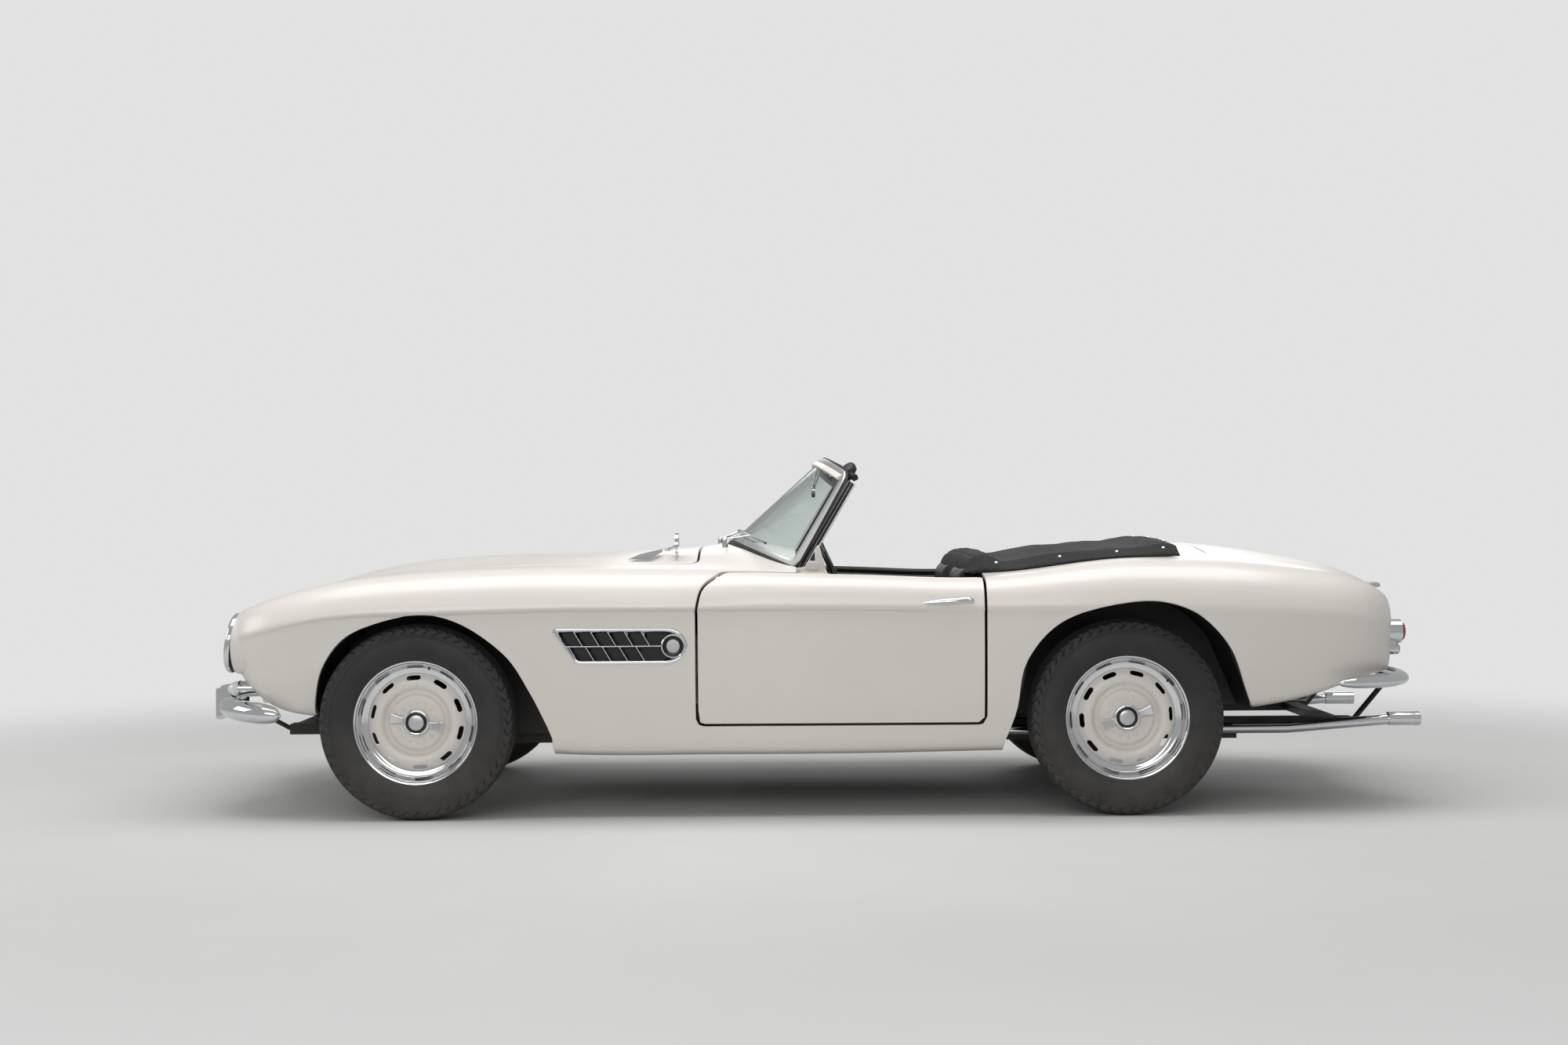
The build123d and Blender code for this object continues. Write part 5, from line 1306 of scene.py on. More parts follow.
lamp_glass_data = lathe(glass_line + glass_in, 120, flute)
bulb = lathe([(-62, 0.3), (-62, 9), (-50, 9), (-44, 7), (-34, 10), (-22, 11.5), (-12, 9), (-6, 4), (-4.5, 0.3)], 32)
shield = lathe([(-8, 0.3), (-8, 13), (-7, 15), (-5, 15.4), (-3.4, 13), (-2.4, 0.3)], 32)
lamp_at, ahead = (-2.0450, -LAMP_Y, LAMP_Z), (-0.9912, 0, 0.1320)
for obj in pair("headlamp_rim", facing(lamp_rim, ahead, lamp_at), chrome):
    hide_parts("headlamp_rings")
for obj in pair("headlamp_glass", facing(lamp_glass_data, ahead, lamp_at), lamp_glass, sharp=60):
    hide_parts("headlamp_lenses")
lamp_rubber = lathe([(-50, 99.2), (-50, 101.4), (9, 101.4), (12.6, 104.8), (14.2, 105.4), (14.2, 99.2)], 96)
for name, data, used in (("bowl", bowl, alloy), ("bulb", bulb, window_glass), ("shield", shield, chrome),
                         ("rubber", lamp_rubber, rubber_and_shade_black)):
    pair(f"headlamp_{name}", facing(data, ahead, lamp_at), used)
# the wing's collar runs forward to the rim and melts into the wing behind it
collar = lathe([(-150, 120), (-60, 101.5), (11, 101.8), (13, 103.2), (12.2, 105.0), (8, 106.6), (-8, 109.6), (-30, 115),
                (-55, 123), (-85, 134.5), (-115, 147), (-150, 162)], 120)
pair("headlamp_collar", facing(collar, (-1, 0, 0), lamp_at), enamel, sharp=60)
print("headlamp reaches x", round(lamp_at[0] - 0.0365, 3))

# %% [markdown]
# ## Bumpers
# Each bumper blade is a deep crowned strip that tapers as it wraps round the wing. Its section is a D: a full face
# outwards and a flat back. It swells over the corner and runs out into a rounded tip, so the section is scaled at
# each point of its path. An upright overrider stands on each front blade, and a parking lamp sits above it.

# %% Blades and overriders
D_SECTION = [(-1.0, -0.55), (-0.97, -0.2), (-0.84, 0.28), (-0.6, 0.68), (-0.3, 0.92), (0, 1.0), (0.3, 0.92),
             (0.6, 0.68), (0.84, 0.28), (0.97, -0.2), (1.0, -0.55), (0.9, -0.62), (0.8, -0.35), (0.4, -0.1), (0, 0.0),
             (-0.4, -0.1), (-0.8, -0.35), (-0.9, -0.62)]


def blade(points, halves, depths):
    """A bumper blade from its line, its half heights and its depths."""
    line = smooth_outline(points, 12)
    share = np.linspace(0, 1, len(line))
    given = np.linspace(0, 1, len(halves))
    tall = smooth_outline(np.column_stack([given, halves]), 12)
    deep = smooth_outline(np.column_stack([given, depths]), 12)
    sizes = np.column_stack([np.interp(share, tall[:, 0], tall[:, 1]), np.interp(share, deep[:, 0], deep[:, 1])])
    out = np.gradient(line, axis=0)
    up = np.cross(out, (0, 0, 1))
    up *= np.where((up * line).sum(1, keepdims=True) > 0, 1, -1)
    return swept(line, D_SECTION, up, sizes=sizes)


front_line = [(-2.146, -0.120, 0.384), (-2.150, -0.160, 0.384), (-2.151, -0.290, 0.384), (-2.140, -0.430, 0.383),
              (-2.105, -0.565, 0.381), (-2.035, -0.670, 0.377), (-1.950, -0.722, 0.371), (-1.895, -0.736, 0.367),
              (-1.872, -0.739, 0.365)]
front_half = [0.006, 0.028, 0.034, 0.036, 0.038, 0.038, 0.036, 0.026, 0.004]
front_deep = [0.004, 0.018, 0.022, 0.025, 0.028, 0.028, 0.026, 0.018, 0.003]
for obj in pair("front_bumper_blade", blade(front_line, front_half, front_deep), chrome):
    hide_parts("front_bumpers")
rear_line = [(2.144, -0.120, 0.452), (2.150, -0.165, 0.453), (2.152, -0.300, 0.455), (2.140, -0.450, 0.456),
             (2.098, -0.585, 0.457), (2.004, -0.690, 0.457), (1.905, -0.735, 0.456), (1.852, -0.744, 0.455),
             (1.834, -0.745, 0.454)]
rear_half = [0.005, 0.020, 0.025, 0.026, 0.026, 0.025, 0.021, 0.013, 0.003]
rear_deep = [0.004, 0.014, 0.020, 0.024, 0.026, 0.024, 0.019, 0.011, 0.002]
for obj in pair("rear_bumper_blade", blade(rear_line, rear_half, rear_deep), chrome):
    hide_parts("rear_bumpers")
rider_rows = [(-2.2085, 0.013, 0.322, 0.430), (-2.2060, 0.019, 0.317, 0.435), (-2.1900, 0.026, 0.317, 0.442),
              (-2.1700, 0.029, 0.324, 0.447), (-2.1480, 0.030, 0.338, 0.450), (-2.1300, 0.028, 0.352, 0.446)]
places, faces = tube([[(x, -0.335 + s * w, z) for s, z in
                       ((-1, low), (-1, (low + high) / 2), (-1, high), (1, high), (1, (low + high) / 2), (1, low))]
                      for x, w, low, high in rider_rows])
faces[-2:] = [(0, 1, 4, 5), (1, 2, 3, 4), (35, 34, 31, 30), (34, 33, 32, 31)]
for rider in pair("overrider", (places, faces), chrome):
    bevelled(rider, 0.006, 3, 30)
    rounding = rider.modifiers.new("rounding", "SUBSURF")
    rounding.levels = rounding.render_levels = 2
for end, root, tip in (("front", (-1.935, -0.335, 0.281), (-2.139, -0.335, 0.392)),
                       ("rear", (1.995, -0.335, 0.281), (2.122, -0.335, 0.432))):
    stay = spaced([root, tip], 0.03)
    pair(f"{end}_bumper_stay", swept(stay, soft_box(-0.005, 0.005, -0.020, 0.020, 0.002), (0, 1, 0)), black_steel)
pod = lathe([(-165, 0.3), (-165, 24), (-110, 27.4), (-50, 28.8), (-48.6, 30), (-43, 30), (-41.6, 28.8), (-41, 0.3)], 48)
pod_lens = lathe([(-42, 0.3), (-42, 28.2), (-32, 27.2), (-21, 23.8), (-11, 17.8), (-3.6, 10), (-0.6, 4), (0, 0.3)], 48)
pod_at = (-2.099, -0.585, 0.449)
pair("parking_lamp_body", facing(pod, (-1, 0, 0), pod_at), chrome)
pair("parking_lamp_lens", facing(pod_lens, (-1, 0, 0), pod_at), white_lens, sharp=60)
print("bumper blades: front", len(front_line), "and rear", len(rear_line), "stations")

# %% [markdown]
# ## Handles, mirror and pipes
# The door handle is a teardrop that grows out of the skin, with a raised grip line and a push button at its rear end.
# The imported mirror, wipers and tail lamps already have their shape and keep it.

# %% Door handles
handle_line = [on_flank(x, z, 0.003) for x, z in smooth_outline([(0.378, 0.7475), (0.42, 0.7505), (0.47, 0.7535),
                                                                 (0.52, 0.7562), (0.556, 0.7572)], 8)]
handle_tall = [0.0015, 0.0050, 0.0078, 0.0098, 0.0112, 0.0118, 0.0122, 0.0124, 0.0125, 0.0124, 0.0118, 0.0098, 0.0050]
handle_deep = [0.002, 0.006, 0.010, 0.0130, 0.0150, 0.0160, 0.0165, 0.0165, 0.0160, 0.0150, 0.0138, 0.0110, 0.0050]
share = np.linspace(0, 1, len(handle_line))
sizes = np.column_stack([np.interp(share, np.linspace(0, 1, 13), handle_tall),
                         np.interp(share, np.linspace(0, 1, 13), handle_deep)])
grip = [(-1, -0.25), (-0.96, 0.2), (-0.8, 0.55), (-0.5, 0.85), (-0.1, 1.0), (0.2, 0.98), (0.42, 0.80), (0.55, 0.55),
        (0.72, 0.48), (0.92, 0.25), (1, -0.25)]
for side, obj in zip(("left", "right"), pair("door_grip", swept(handle_line, grip, OUTBOARD, sizes=sizes), chrome,
                                             "door_left")):
    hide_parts(f"door_handle_{side}")
button = lathe([(-2, 0.3), (-2, 8.8), (15, 8.8), (17.4, 8.0), (18.0, 6.6), (17.0, 5.6), (17.0, 4.2), (18.6, 3.4),
                (19.0, 0.3)], 40)
pair("door_button", (np.array(button[0]) + on_flank(0.545, 0.757), button[1]), chrome, "door_left")
print("handle runs from x", round(handle_line[0][0], 3), "to", round(handle_line[-1][0], 3))

# %% Boot handle
grip_line = [(2.150, y, 0.775) for y in np.linspace(-0.060, 0.060, 25)]
swell = 0.62 + 0.38 * np.sqrt(1 - np.linspace(-1, 1, 25) ** 4)
boot_grip = piece("boot_grip", swept(grip_line, soft_box(-0.030, 0.036, -0.0105, 0.0105, 0.009), (0, 0, 1),
                                     sizes=np.column_stack([np.ones(25), swell])), chrome, "boot_lid")
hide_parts("boot_handle")

# %% Exhaust ends
pipes = np.array([v.co for v in frame["nodes"]["exhaust"].data.vertices])
end_ring = pipes[(pipes[:, 0] > pipes[:, 0].max() - 0.002) & (pipes[:, 1] < 0)]
pipe_at = np.array([pipes[:, 0].max(), *((end_ring.min(axis=0) + end_ring.max(axis=0)) / 2)[1:]])
pipe_r = 500 * float(np.ptp(end_ring[:, 2]))
lip = lathe([(-14, pipe_r - 0.4), (-14, pipe_r + 0.8), (4.2, pipe_r + 0.9), (5, pipe_r + 0.2), (4.6, pipe_r - 1.2),
             (-1, pipe_r - 1.6)], 48)
# a black disc across the pipe's mouth: soot, and painted shade for the depth of the open bore
soot_and_bore_shade = lathe([(-2, 0.3), (-2, pipe_r - 1), (0.6, pipe_r - 1), (0.6, 0.3)], 48)
pair("exhaust_lip", facing(lip, (1, 0, 0), pipe_at), chrome)
pair("exhaust_bore", facing(soot_and_bore_shade, (1, 0, 0), pipe_at), rubber_and_shade_black)
print("pipe end:", pipe_at.round(3), "radius", round(pipe_r, 1))

# %% [markdown]
# ## Seats
# A seat of this age is a sprung pad under leather, sewn into upright flutes between two plain bolsters. The pad has
# to look filled, so it is not drawn round: a slack closed form is remeshed, given air pressure as cloth and stopped
# after twenty frames, the way an upholsterer stuffs a cover. The flutes and seams are pressed in after it.

# %% Stuffed leather pads
VOXEL, STUFFING, MOST_SWELL, SIM_FRAMES = 0.006, 4.0, 0.012, 20
FLUTE_WIDE, FLUTE_DEEP, SEAM_WIDE, SEAM_DEEP = 0.0055, 0.0085, 0.006, 0.0095


def pad_form(rows, across, corner):
    """A closed form from rows of (front or back x, low z, high z), each the same width: a rounded box to be stuffed."""
    section = soft_box(*across, 0, 1, corner, 5)
    return tube([[(x, y, low + (high - low) * t) for y, t in section] for x, low, high in rows])


def stuffed(name, data):
    """A pad swollen by cloth pressure, and the places of its points, none moved further than the most swell."""
    pad = build_mesh(name, data[0], data[1], finish=leather, outward=True)
    remesh = pad.modifiers.new("even_mesh", "REMESH")
    remesh.mode, remesh.voxel_size = "VOXEL", VOXEL
    graph = bpy.context.evaluated_depsgraph_get()
    even = bpy.data.meshes.new_from_object(pad.evaluated_get(graph))
    pad.modifiers.clear()
    pad.data = even
    before = np.array([v.co for v in even.vertices])
    cloth_sim = pad.modifiers.new("stuffing", "CLOTH")
    cloth_sim.settings.use_pressure = True
    cloth_sim.settings.uniform_pressure_force = STUFFING
    cloth_sim.settings.effector_weights.gravity = 0
    cloth_sim.point_cache.frame_start, cloth_sim.point_cache.frame_end = 1, SIM_FRAMES
    for step in range(1, SIM_FRAMES + 1):
        bpy.context.scene.frame_set(step)
    graph = bpy.context.evaluated_depsgraph_get()
    swollen = bpy.data.meshes.new_from_object(pad.evaluated_get(graph))
    moved = np.array([v.co for v in swollen.vertices]) - before
    length = np.maximum(np.linalg.norm(moved, axis=1, keepdims=True), 1e-9)
    before = before + moved * np.minimum(1, MOST_SWELL / length)
    pad.modifiers.clear()
    bpy.context.scene.frame_set(1)
    return pad, before


def sewn(out, beyond, far, half, pitch):
    """How far the leather is drawn in by flutes at a pitch, and by the seam round them, out from the pad's middle."""
    t = np.abs((out / pitch + 0.5) % 1 - 0.5) * pitch
    fluted = (out < half - 0.005) & (beyond > 0) & (beyond < far)
    seam = np.maximum(np.exp(-((out - half) / SEAM_WIDE) ** 2) * (beyond > 0),
                      np.exp(-(beyond / SEAM_WIDE) ** 2) * (out < half))
    return FLUTE_DEEP * fluted * np.exp(-(t / FLUTE_WIDE) ** 2) + SEAM_DEEP * seam


SEAT_Y, CUSHION_HALF, BACK_HALF, CORNER = -0.3575, 0.226, 0.218, 0.03
cushion_rows = [(0.124, 0.330, 0.405), (0.134, 0.324, 0.432), (0.165, 0.3215, 0.447), (0.30, 0.3215, 0.443),
                (0.42, 0.3215, 0.434), (0.490, 0.3215, 0.428), (0.507, 0.328, 0.416)]
cushion, spots = stuffed("seat_cushion_left", pad_form(cushion_rows, (SEAT_Y - CUSHION_HALF, SEAT_Y + CUSHION_HALF),
                                                       CORNER))
top = np.clip((spots[:, 2] - 0.400) / 0.03, 0, 1)
spots[:, 2] -= top * sewn(np.abs(spots[:, 1] - SEAT_Y), spots[:, 0] - 0.150, 0.34, 0.170, 0.0471)
spots[:, 2] = np.clip(spots[:, 2], 0.3195, 0.4695)
# the backrest is the same kind of form stood on end
back_rows = [(0.330, 0.5235, 0.594), (0.345, 0.5225, 0.594), (0.50, 0.523, 0.594), (0.70, 0.525, 0.593),
             (0.82, 0.530, 0.590), (0.865, 0.540, 0.584), (0.876, 0.552, 0.574)]
places, faces = pad_form(back_rows, (SEAT_Y - BACK_HALF, SEAT_Y + BACK_HALF), CORNER)
backrest, ridge = stuffed("seat_back_left", (places[:, [2, 1, 0]], faces))
face = np.clip((0.560 - ridge[:, 0]) / 0.02, 0, 1)
ridge[:, 0] += face * sewn(np.abs(ridge[:, 1] - SEAT_Y), 0.800 - ridge[:, 2], 0.44, 0.165, 0.0457)
ridge[:, 0] = np.clip(ridge[:, 0], 0.5212, 0.5955)


def finish_pad(pad, places, node):
    """Gives a pad its shape and its twin on the right, both smooth."""
    pad.data.vertices.foreach_set("co", places.astype(np.float32).ravel())
    other = pad.copy()
    other.data = pad.data.copy()
    other.name = pad.name.replace("left", "right")
    other.data.vertices.foreach_set("co", (places * (1, -1, 1)).astype(np.float32).ravel())
    other.data.flip_normals()
    bpy.context.scene.collection.objects.link(other)
    for made in (pad, other):
        made.data.materials.clear()
        made.data.materials.append(leather)
        made.data.shade_smooth()
        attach(made, "car")
        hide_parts(node)


finish_pad(cushion, spots, "seat_cushions")
finish_pad(backrest, ridge, "seat_backs")
print("seat pads:", len(spots), "and", len(ridge), "points, top of the cushion", round(float(spots[:, 2].max()), 3))

# %% [markdown]
# ## Dashboard and doors inside
# The dash is body colour with a black padded roll along its top. Two large dials stand before the driver and two
# small ones beside them, each a turned bezel over a dark face with raised marks and a needle. The doors carry a
# leather card with a pocket, a handle and a winder.

# %% Dash roll and dials
dash_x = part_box("dashboard")[1][0]
roll_line = [(-0.056, y, min(body_z(-0.075, y), 0.935) - 0.034) for y in np.linspace(-0.655, 0.655, 60)]
roll_size = np.ones((60, 2))
roll_size[0] = roll_size[-1] = 0.7
piece("dash_roll", swept(roll_line, oval(0.026, 0.021, 20), (0, 0, 1), sizes=roll_size), crash_roll)
DIALS = [("speed_dial", -0.425, 0.800, 50), ("rev_dial", -0.285, 0.800, 50), ("fuel_dial", -0.355, 0.865, 23),
         ("oil_dial", -0.190, 0.820, 27), ("clock_dial", 0.020, 0.820, 33)]
INTO_CABIN = (1, 0, 0)
for name, y, z, r in DIALS:
    seat = (dash_x, y, z)
    bezel = lathe([(-4, r - 4), (-4, r + 1), (3, r + 1), (5.5, r - 0.5), (6.2, r - 3), (4.5, r - 5), (1, r - 6),
                   (-4, r - 6)], 64)
    face_disc = lathe([(-4, 0.2), (-4, r - 4), (1.0, r - 4), (1.2, r - 8), (1.2, 0.2)], 64)
    piece(f"{name}_bezel", facing(bezel, INTO_CABIN, seat), chrome)
    piece(f"{name}_face", facing(face_disc, INTO_CABIN, seat), dial)
    marks = []
    for k in range(25):
        angle, long = math.radians(-120 + 10 * k), 0.16 if k % 4 == 0 else 0.08
        c, s = math.sin(angle), math.cos(angle)
        a, b = (r - 8) / 1000, (r - 8) / 1000 * (1 - long)
        w = 0.0007 if k % 4 else 0.0011
        marks.append(tube([[(dash_x + lift, y + c * d + s * e, z + s * d - c * e)
                            for d, e in ((a, w), (a, -w), (b, -w), (b, w))] for lift in (0.0018, 0.0006)]))
    piece(f"{name}_marks", gather(*marks), enamel)
    needle = spaced([(dash_x + 0.003, y, z), (dash_x + 0.003, y - 0.55 * r / 1000, z - 0.45 * r / 1000)], 0.01)
    piece(f"{name}_needle", swept(needle, oval(0.0010, 0.0006, 8), INTO_CABIN), red_lens)
for k, y in enumerate((-0.10, -0.06, 0.09, 0.13)):
    knob = lathe([(-2, 0.3), (-2, 4), (12, 4), (14, 9), (22, 9.6), (25, 8), (26, 0.3)], 32)
    piece(f"dash_knob_{k + 1}", facing(knob, INTO_CABIN, (dash_x, y, 0.775)), plastic)
lid_line = spaced(soft_box(0.24, 0.56, 0.735, 0.845, 0.02, 5), 0.012, closed=True)
lid_path = [(dash_x + 0.001, y, z) for y, z in lid_line]
piece("glovebox_edge", swept(lid_path, oval(0.0016, 0.0014, 8), INTO_CABIN, closed=True), chrome)
print("dials:", len(DIALS), "on the dash face at x", round(dash_x, 3))

# %% Steering wheel boss, door cards and floor mats
tilt = math.radians(24)
wheel_axis, wheel_at = (math.cos(tilt), 0, math.sin(tilt)), (0.092, -0.345, 0.812)
boss = lathe([(-6, 0.3), (-6, 30), (8, 30), (13, 27), (15, 20), (15.6, 0.3)], 64)
horn_disc = lathe([(14, 0.3), (14, 19), (16.4, 18.4), (17.2, 12), (17.4, 0.3)], 48)
piece("wheel_boss", facing(boss, wheel_axis, wheel_at), chrome, "steering_wheel")
piece("horn_disc", facing(horn_disc, wheel_axis, wheel_at), plastic, "steering_wheel")
card_side = rounded([(-0.385, 0.350), (0.578, 0.350), (0.578, 0.775), (-0.372, 0.775)], 0.03)
for card in pair("door_card", plate(card_side, -0.7305, -0.7265), leather, "door_left"):
    bevelled(card, 0.0014, 2)
piping = [(x, -0.7262, z) for x, z in spaced(soft_box(-0.345, 0.54, 0.385, 0.60, 0.03, 5), 0.015, closed=True)]
pair("door_piping", swept(piping, oval(0.0028, 0.0024, 8), (0, 1, 0), closed=True), crash_roll, "door_left")
top_line = [(x, -0.703, body_z(x, 0.716) - 0.0145) for x in np.linspace(-0.270, 0.572, 50)]
pair("door_top_roll", swept(top_line, oval(0.0125, 0.0125, 16), (0, 0, 1)), crash_roll, "door_left")
pull = smooth_outline([(0.02, -0.727, 0.665), (0.03, -0.700, 0.668), (0.11, -0.694, 0.672), (0.19, -0.700, 0.668),
                       (0.20, -0.727, 0.665)], 8)
pair("door_pull", swept(pull, oval(0.011, 0.007, 12), (0, 0, 1)), crash_roll, "door_left")
for name, x, z, dx, dz in (("door_latch", 0.33, 0.70, -0.075, 0.012), ("window_winder", -0.12, 0.655, 0.03, -0.085)):
    hub = lathe([(-2, 0.3), (-2, 15), (4, 15), (7, 9), (13, 8), (15, 0.3)], 32)
    pair(f"{name}_hub", facing(hub, (0, 1, 0), (x, -0.727, z)), chrome, "door_left")
    arm = spaced([(x, -0.715, z), (x + dx, -0.708, z + dz)], 0.01)
    pair(f"{name}_arm", swept(arm, oval(0.0045, 0.0030, 12), (0, 1, 0)), chrome, "door_left")
floor_top = 0.318
mat_plan = soft_box(-0.26, 0.095, -0.625, -0.150, 0.03, 5)
mat_form = tube([[(x, y, floor_top + t) for x, y in mat_plan] for t in (0.0006, 0.0076)])
for mat in pair("floor_mat", mat_form, carpet):
    bevelled(mat, 0.003, 2)
print("cabin trimmed")

# %% [markdown]
# ## Folded hood under its cover
# The hood folds into a well behind the seats and a cloth cover is pressed down over it with studs. In front the folded
# sticks make a ribbed roll; behind it the cloth is drawn tight over the bows to the deck. The cover is one sheet:
# a grid across the well whose height comes from a few stations, with the dips between bows and the wrinkles that
# run from each stud added to it.

# %% Cover sheet
# station, how far out the edge lies, edge height above the body, height in the middle
HOOD = np.array([(0.541, 0.600, 0.800, 0.802), (0.540, 0.602, 0.830, 0.836), (0.546, 0.606, 0.866, 0.875),
                 (0.562, 0.610, 0.893, 0.905), (0.585, 0.614, 0.909, 0.921), (0.612, 0.618, 0.914, 0.926),
                 (0.640, 0.622, 0.906, 0.918), (0.662, 0.626, 0.893, 0.905), (0.690, 0.632, 0.888, 0.901),
                 (0.780, 0.640, 0.903, 0.919), (0.900, 0.640, 0.917, 0.935), (1.050, 0.638, 0.927, 0.947),
                 (1.180, 0.634, 0.936, 0.957), (1.262, 0.630, 0.946, 0.966), (1.292, 0.628, 0.940, 0.960),
                 (1.306, 0.626, 0.926, 0.948)])
hood_knots = np.r_[0, np.cumsum(np.hypot(np.diff(HOOD[:, 0]), np.diff(HOOD[:, 2])))]
stations = spline_through(hood_knots, HOOD, np.r_[np.linspace(0, 0.33, 62), np.linspace(0.345, hood_knots[-1], 44)])
xs = stations[:, 0]
STUDS = [(0.655, 0.612), (0.88, 0.618), (1.08, 0.616), (1.255, 0.610)]
across = np.linspace(-1, 1, 111)
rows_out = []
for x, edge_y, shoulder_z, middle_z in stations:
    out = np.abs(across)
    y = np.sign(across) * edge_y * np.minimum(1.0, out * 1.02)
    drop = np.clip((out - 0.90) / 0.10, 0, 1)
    crown = middle_z - (middle_z - shoulder_z) * (out / 0.9) ** 2.4
    rest = np.array([body_z(min(max(x, 0.602), 1.42), abs(v)) for v in y]) + 0.0035
    low_edge = rest if x > 0.60 else np.full(len(y), min(shoulder_z, rest.min() - 0.004))
    z = np.where(out < 0.90, crown, shoulder_z + (low_edge - shoulder_z) * drop ** 0.8)
    z = np.maximum(z, np.where(out > 0.90, low_edge, -1))
    rows_out.append(np.column_stack([np.full(len(y), x), y, z]))
sheet_grid = np.array(rows_out)
x, y, z = sheet_grid[..., 0], sheet_grid[..., 1], sheet_grid[..., 2]
inside_edge = np.clip((0.92 - np.abs(across)) / 0.12, 0, 1)[None]
bows = 0.0022 * np.cos((x - 0.70) * 2 * math.pi / 0.185) * (x > 0.70) * inside_edge
folds = 0.0016 * np.sin(y * 26 + 3.0 * np.sin(x * 9)) * np.sin(x * 31 + y * 5) * inside_edge
ribs = -0.0050 * (np.exp(-((x - 0.600) / 0.0042) ** 2) + np.exp(-((x - 0.636) / 0.0042) ** 2)
                  + np.exp(-((x - 0.572) / 0.0040) ** 2))
pulls = np.zeros_like(z)
for sx, sy in STUDS:
    for side in (-1, 1):
        near = np.hypot(x - sx, y - side * sy)
        pulls += -0.0022 * np.exp(-(near / 0.022) ** 2) + 0.0012 * np.exp(-((near - 0.045) / 0.018) ** 2)
sheet_grid[..., 2] = z + bows + folds + ribs + pulls * inside_edge
n, m = sheet_grid.shape[:2]
sheet_faces = [(i * m + j, (i + 1) * m + j, (i + 1) * m + j + 1, i * m + j + 1)
               for i in range(n - 1) for j in range(m - 1)]
cover = build_mesh("hood_cover", sheet_grid.reshape(-1, 3), sheet_faces, finish=cloth, sharp=60)
thick = cover.modifiers.new("cloth_thickness", "SOLIDIFY")
thick.thickness, thick.offset = 0.0022, -1
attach(cover, "car")
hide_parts("tonneau_cover")
# its size laid flat: the width of each row and the length of each column of the grid, measured along the cloth
wide, long = (np.linalg.norm(np.diff(sheet_grid, axis=k), axis=2).sum(k) for k in (1, 0))

# %% Studs and hem
hem_lines = {"left": sheet_grid[6:-2, 0], "right": sheet_grid[6:-2, -1], "rear": sheet_grid[-2, 3:-3]}
hem = [piece(f"hood_hem_{name}", swept(line + (0, 0, 0.0016), oval(0.0050, 0.0014, 10), (0, 0, 1)), cloth)
       for name, line in hem_lines.items()]
stud_data = lathe([(-6, 0.3), (-6, 6.6), (0.4, 6.6), (2.0, 5.6), (3.0, 3.4), (3.4, 0.3)], 24)
for k, (sx, sy) in enumerate(STUDS):
    row = int(np.argmin(np.abs(xs - sx)))
    for name, column in (("left", 4), ("right", m - 5)):
        spot = sheet_grid[row, column]
        up = np.cross(sheet_grid[row + 1, column] - spot, sheet_grid[row, column + 1] - spot)
        up /= np.linalg.norm(up)
        piece(f"hood_stud_{k + 1}_{name}", facing(stud_data, up, spot + up * 0.001), chrome)
for k, y in enumerate(np.linspace(-0.48, 0.48, 7)):
    column = int(np.argmin(np.abs(sheet_grid[-4, :, 1] - y)))
    spot = sheet_grid[-4, column]
    piece(f"hood_stud_rear_{k + 1}", facing(stud_data, (0.2, 0, 0.98), spot + (0, 0, 0.0005)), chrome)

# %% [markdown]
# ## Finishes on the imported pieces
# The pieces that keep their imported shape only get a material.

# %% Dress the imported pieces
DRESS = {
    "black_chassis": ["chassis_frame", "front_suspension", "knuckle_left", "knuckle_right", "rear_axle", "bulkhead",
                      "front_arch_liners", "rear_arch_liners"],
    "cast_engine": ["engine"],
    "bright_chrome": ["exhaust", "wing_mirror", "interior_mirror", "tail_lamp_rings", "bonnet_vents", "wipers"],
    "ruby_lens": ["tail_lamps"],
    "cream_enamel": ["dashboard"],
    "loop_carpet": ["floor_pan", "rear_tub"],
    "gloss_plastic": ["steering_wheel", "steering_column"],
}
for finish_name, names in DRESS.items():
    for name in names:
        mesh = frame["nodes"][name].data
        mesh.materials.clear()
        mesh.materials.append(bpy.data.materials[finish_name])
for made in [body_skin, bonnet, boot_lid, *doors.values()]:
    made.data.materials.append(enamel)

print("dressed", sum(len(names) for names in DRESS.values()), "packed pieces")

# %% [markdown]
# ## Studio
# A plain pale floor, one broad soft light overhead that draws the long highlight on the shoulders, and weaker fills at
# the sides, so that each colour comes out about as it is written. The pale backdrop is only what the camera sees of the
# world; the mirrors see a dimmer sky, and the far floor fades to the same level so no horizon runs along the flanks.

# %% Floor and world
floor = bpy.data.meshes.new("studio_floor")
floor.from_pydata([(x, y, 0.0) for x, y in ((-60, -60), (60, -60), (60, 60), (-60, 60))], [], [(0, 1, 2, 3)])
studio_floor = set_out("studio_floor", floor)
BACKDROP, SKY = srgb(226, 226, 226), 0.42

ground, tree = blank_material("pale_floor")
matte = tree.nodes["Principled BSDF"]
where = add(tree, "TexCoord")["Object"]
cloud = add(tree, "Group", {"Vector": where, "Scale": 0.7}, node_tree=mottle)["Mask"]
tint = add(tree, "Mix", {"Factor": cloud, 6: srgb(205, 205, 204), 7: srgb(199, 199, 198)}, data_type="RGBA")[2]
tree.links.new(tint, matte.inputs["Base Color"])
matte.inputs["Roughness"].default_value = 0.75
distance = add(tree, "VectorMath", {0: where}, operation="LENGTH")["Value"]
away = add(tree, "MapRange", {"Value": distance, "From Min": 2.7, "From Max": 6.0}, interpolation_type="SMOOTHSTEP")
ray = add(tree, "LightPath")
level = add(tree, "MapRange", {"Value": ray["Is Camera Ray"], "To Min": SKY / BACKDROP[0], "To Max": 1.0})
glow = add(tree, "Emission", {"Strength": level["Result"], "Color": BACKDROP})[0]
seen = ray["Is Camera Ray"]
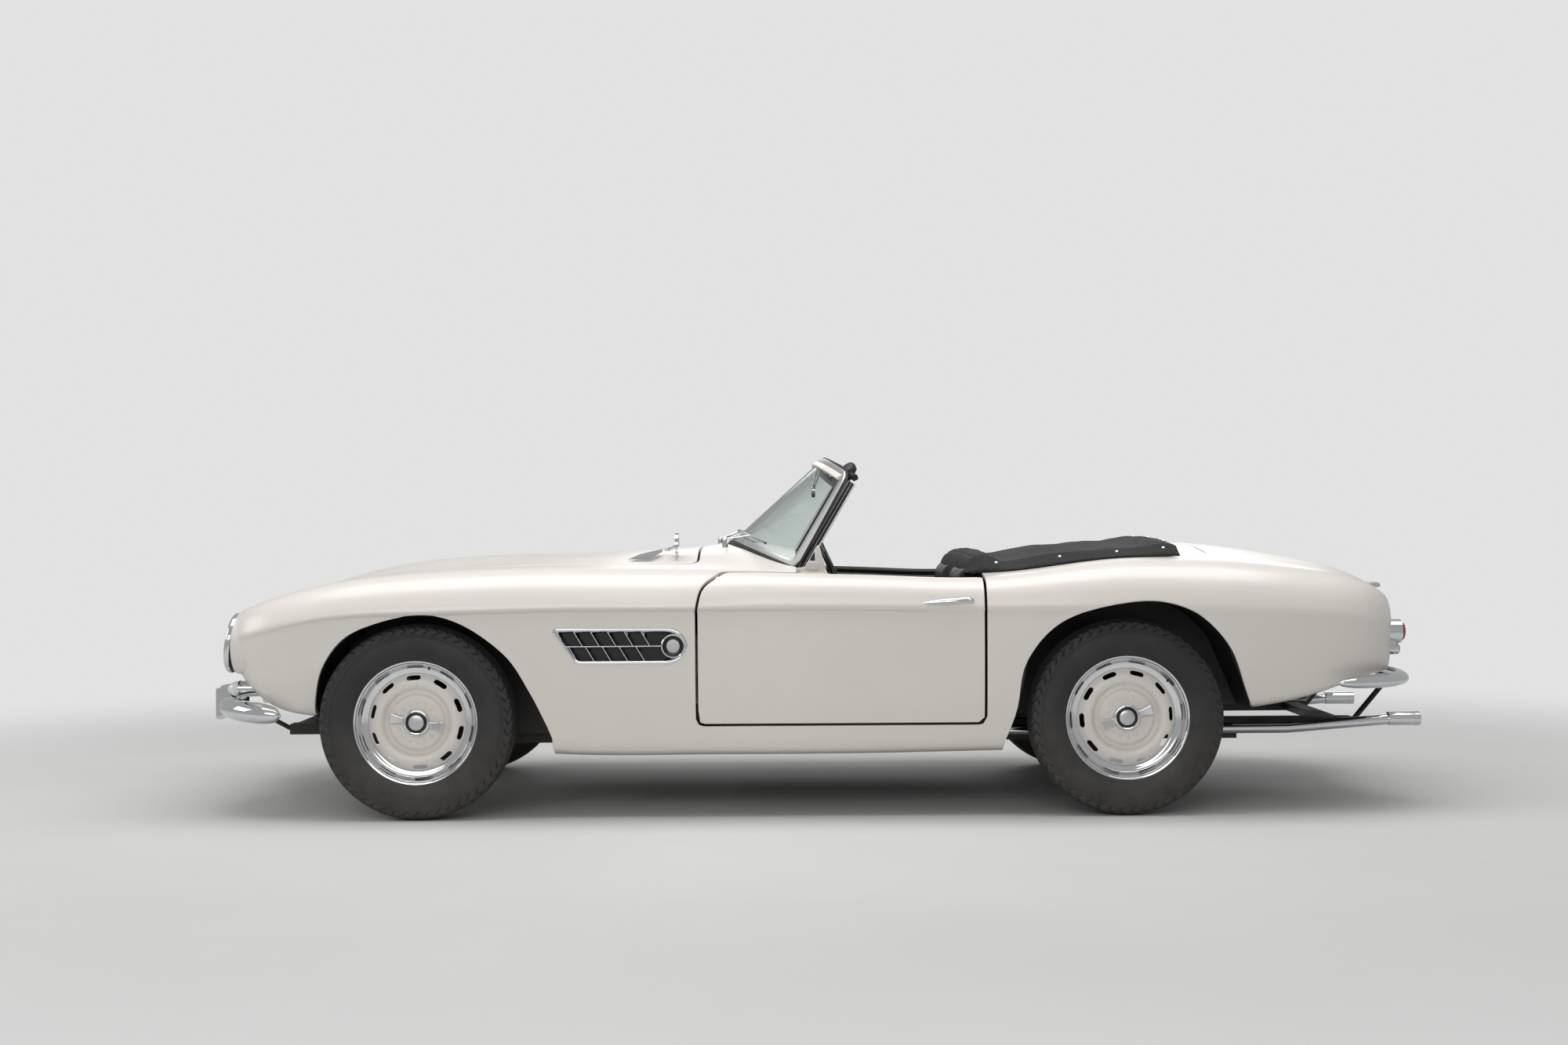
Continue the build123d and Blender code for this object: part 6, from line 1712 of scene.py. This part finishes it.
for kind in ("Is Glossy Ray", "Is Transmission Ray"):
    seen = add(tree, "Math", {0: seen, 1: ray[kind]}, operation="MAXIMUM")["Value"]
fade = add(tree, "Math", {0: away["Result"], 1: seen}, operation="MULTIPLY")["Value"]
both = add(tree, "MixShader", {0: fade, 1: matte.outputs[0], 2: glow})[0]
tree.links.new(both, tree.nodes["Material Output"].inputs["Surface"])
floor.materials.append(ground)

world = bpy.data.worlds.new("studio")
bpy.context.scene.world = world
world.use_nodes = True
tree = world.node_tree
tree.nodes.clear()
soft = add(tree, "Background", {"Color": (1.0, 1.0, 1.0, 1.0), "Strength": SKY})[0]
shown = add(tree, "Background", {"Color": BACKDROP, "Strength": 1.0})[0]
by_camera = add(tree, "LightPath")["Is Camera Ray"]
mix = add(tree, "MixShader", {0: by_camera, 1: soft, 2: shown})[0]
add(tree, "OutputWorld", {"Surface": mix})
bpy.context.scene.view_settings.view_transform = "Standard"


# %% Lamps and camera
def soft_lamp(name, place, aim, size, power):
    """A rectangular soft box that looks at a point."""
    data = bpy.data.lights.new(name, "AREA")
    data.shape, data.size, data.size_y, data.energy = "RECTANGLE", size[0], size[1], power
    lamp = set_out(name, data)
    lamp.location = place
    lamp.rotation_euler = (Vector(aim) - Vector(place)).to_track_quat("-Z", "Y").to_euler()


soft_lamp("overhead_box", (0.0, -0.6, 4.6), (0.0, 0.0, 0.4), (7.0, 2.6), 190)
soft_lamp("side_box", (-1.5, -7.5, 3.4), (0.0, 0.0, 0.6), (6.0, 2.2), 120)
soft_lamp("front_box", (-7.0, -1.0, 3.0), (-1.2, 0.0, 0.6), (3.0, 2.4), 60)
soft_lamp("far_box", (1.5, 7.5, 3.6), (0.0, 0.0, 0.6), (6.0, 2.2), 70)

camera_data = bpy.data.cameras.new("portrait_camera")
camera_data.sensor_width, camera_data.lens = 36.0, 46.2
camera = set_out("portrait_camera", camera_data)
CAMERA_AT, CAMERA_ROLL = (-0.103, -7.790, 1.031), 0.0070
camera.matrix_world = (Matrix.Translation(CAMERA_AT) @ Matrix.Rotation(CAMERA_ROLL, 4, "Y")
                       @ Matrix.Rotation(math.radians(90), 4, "X"))
bpy.context.scene.camera = camera
print("lamps and camera placed")
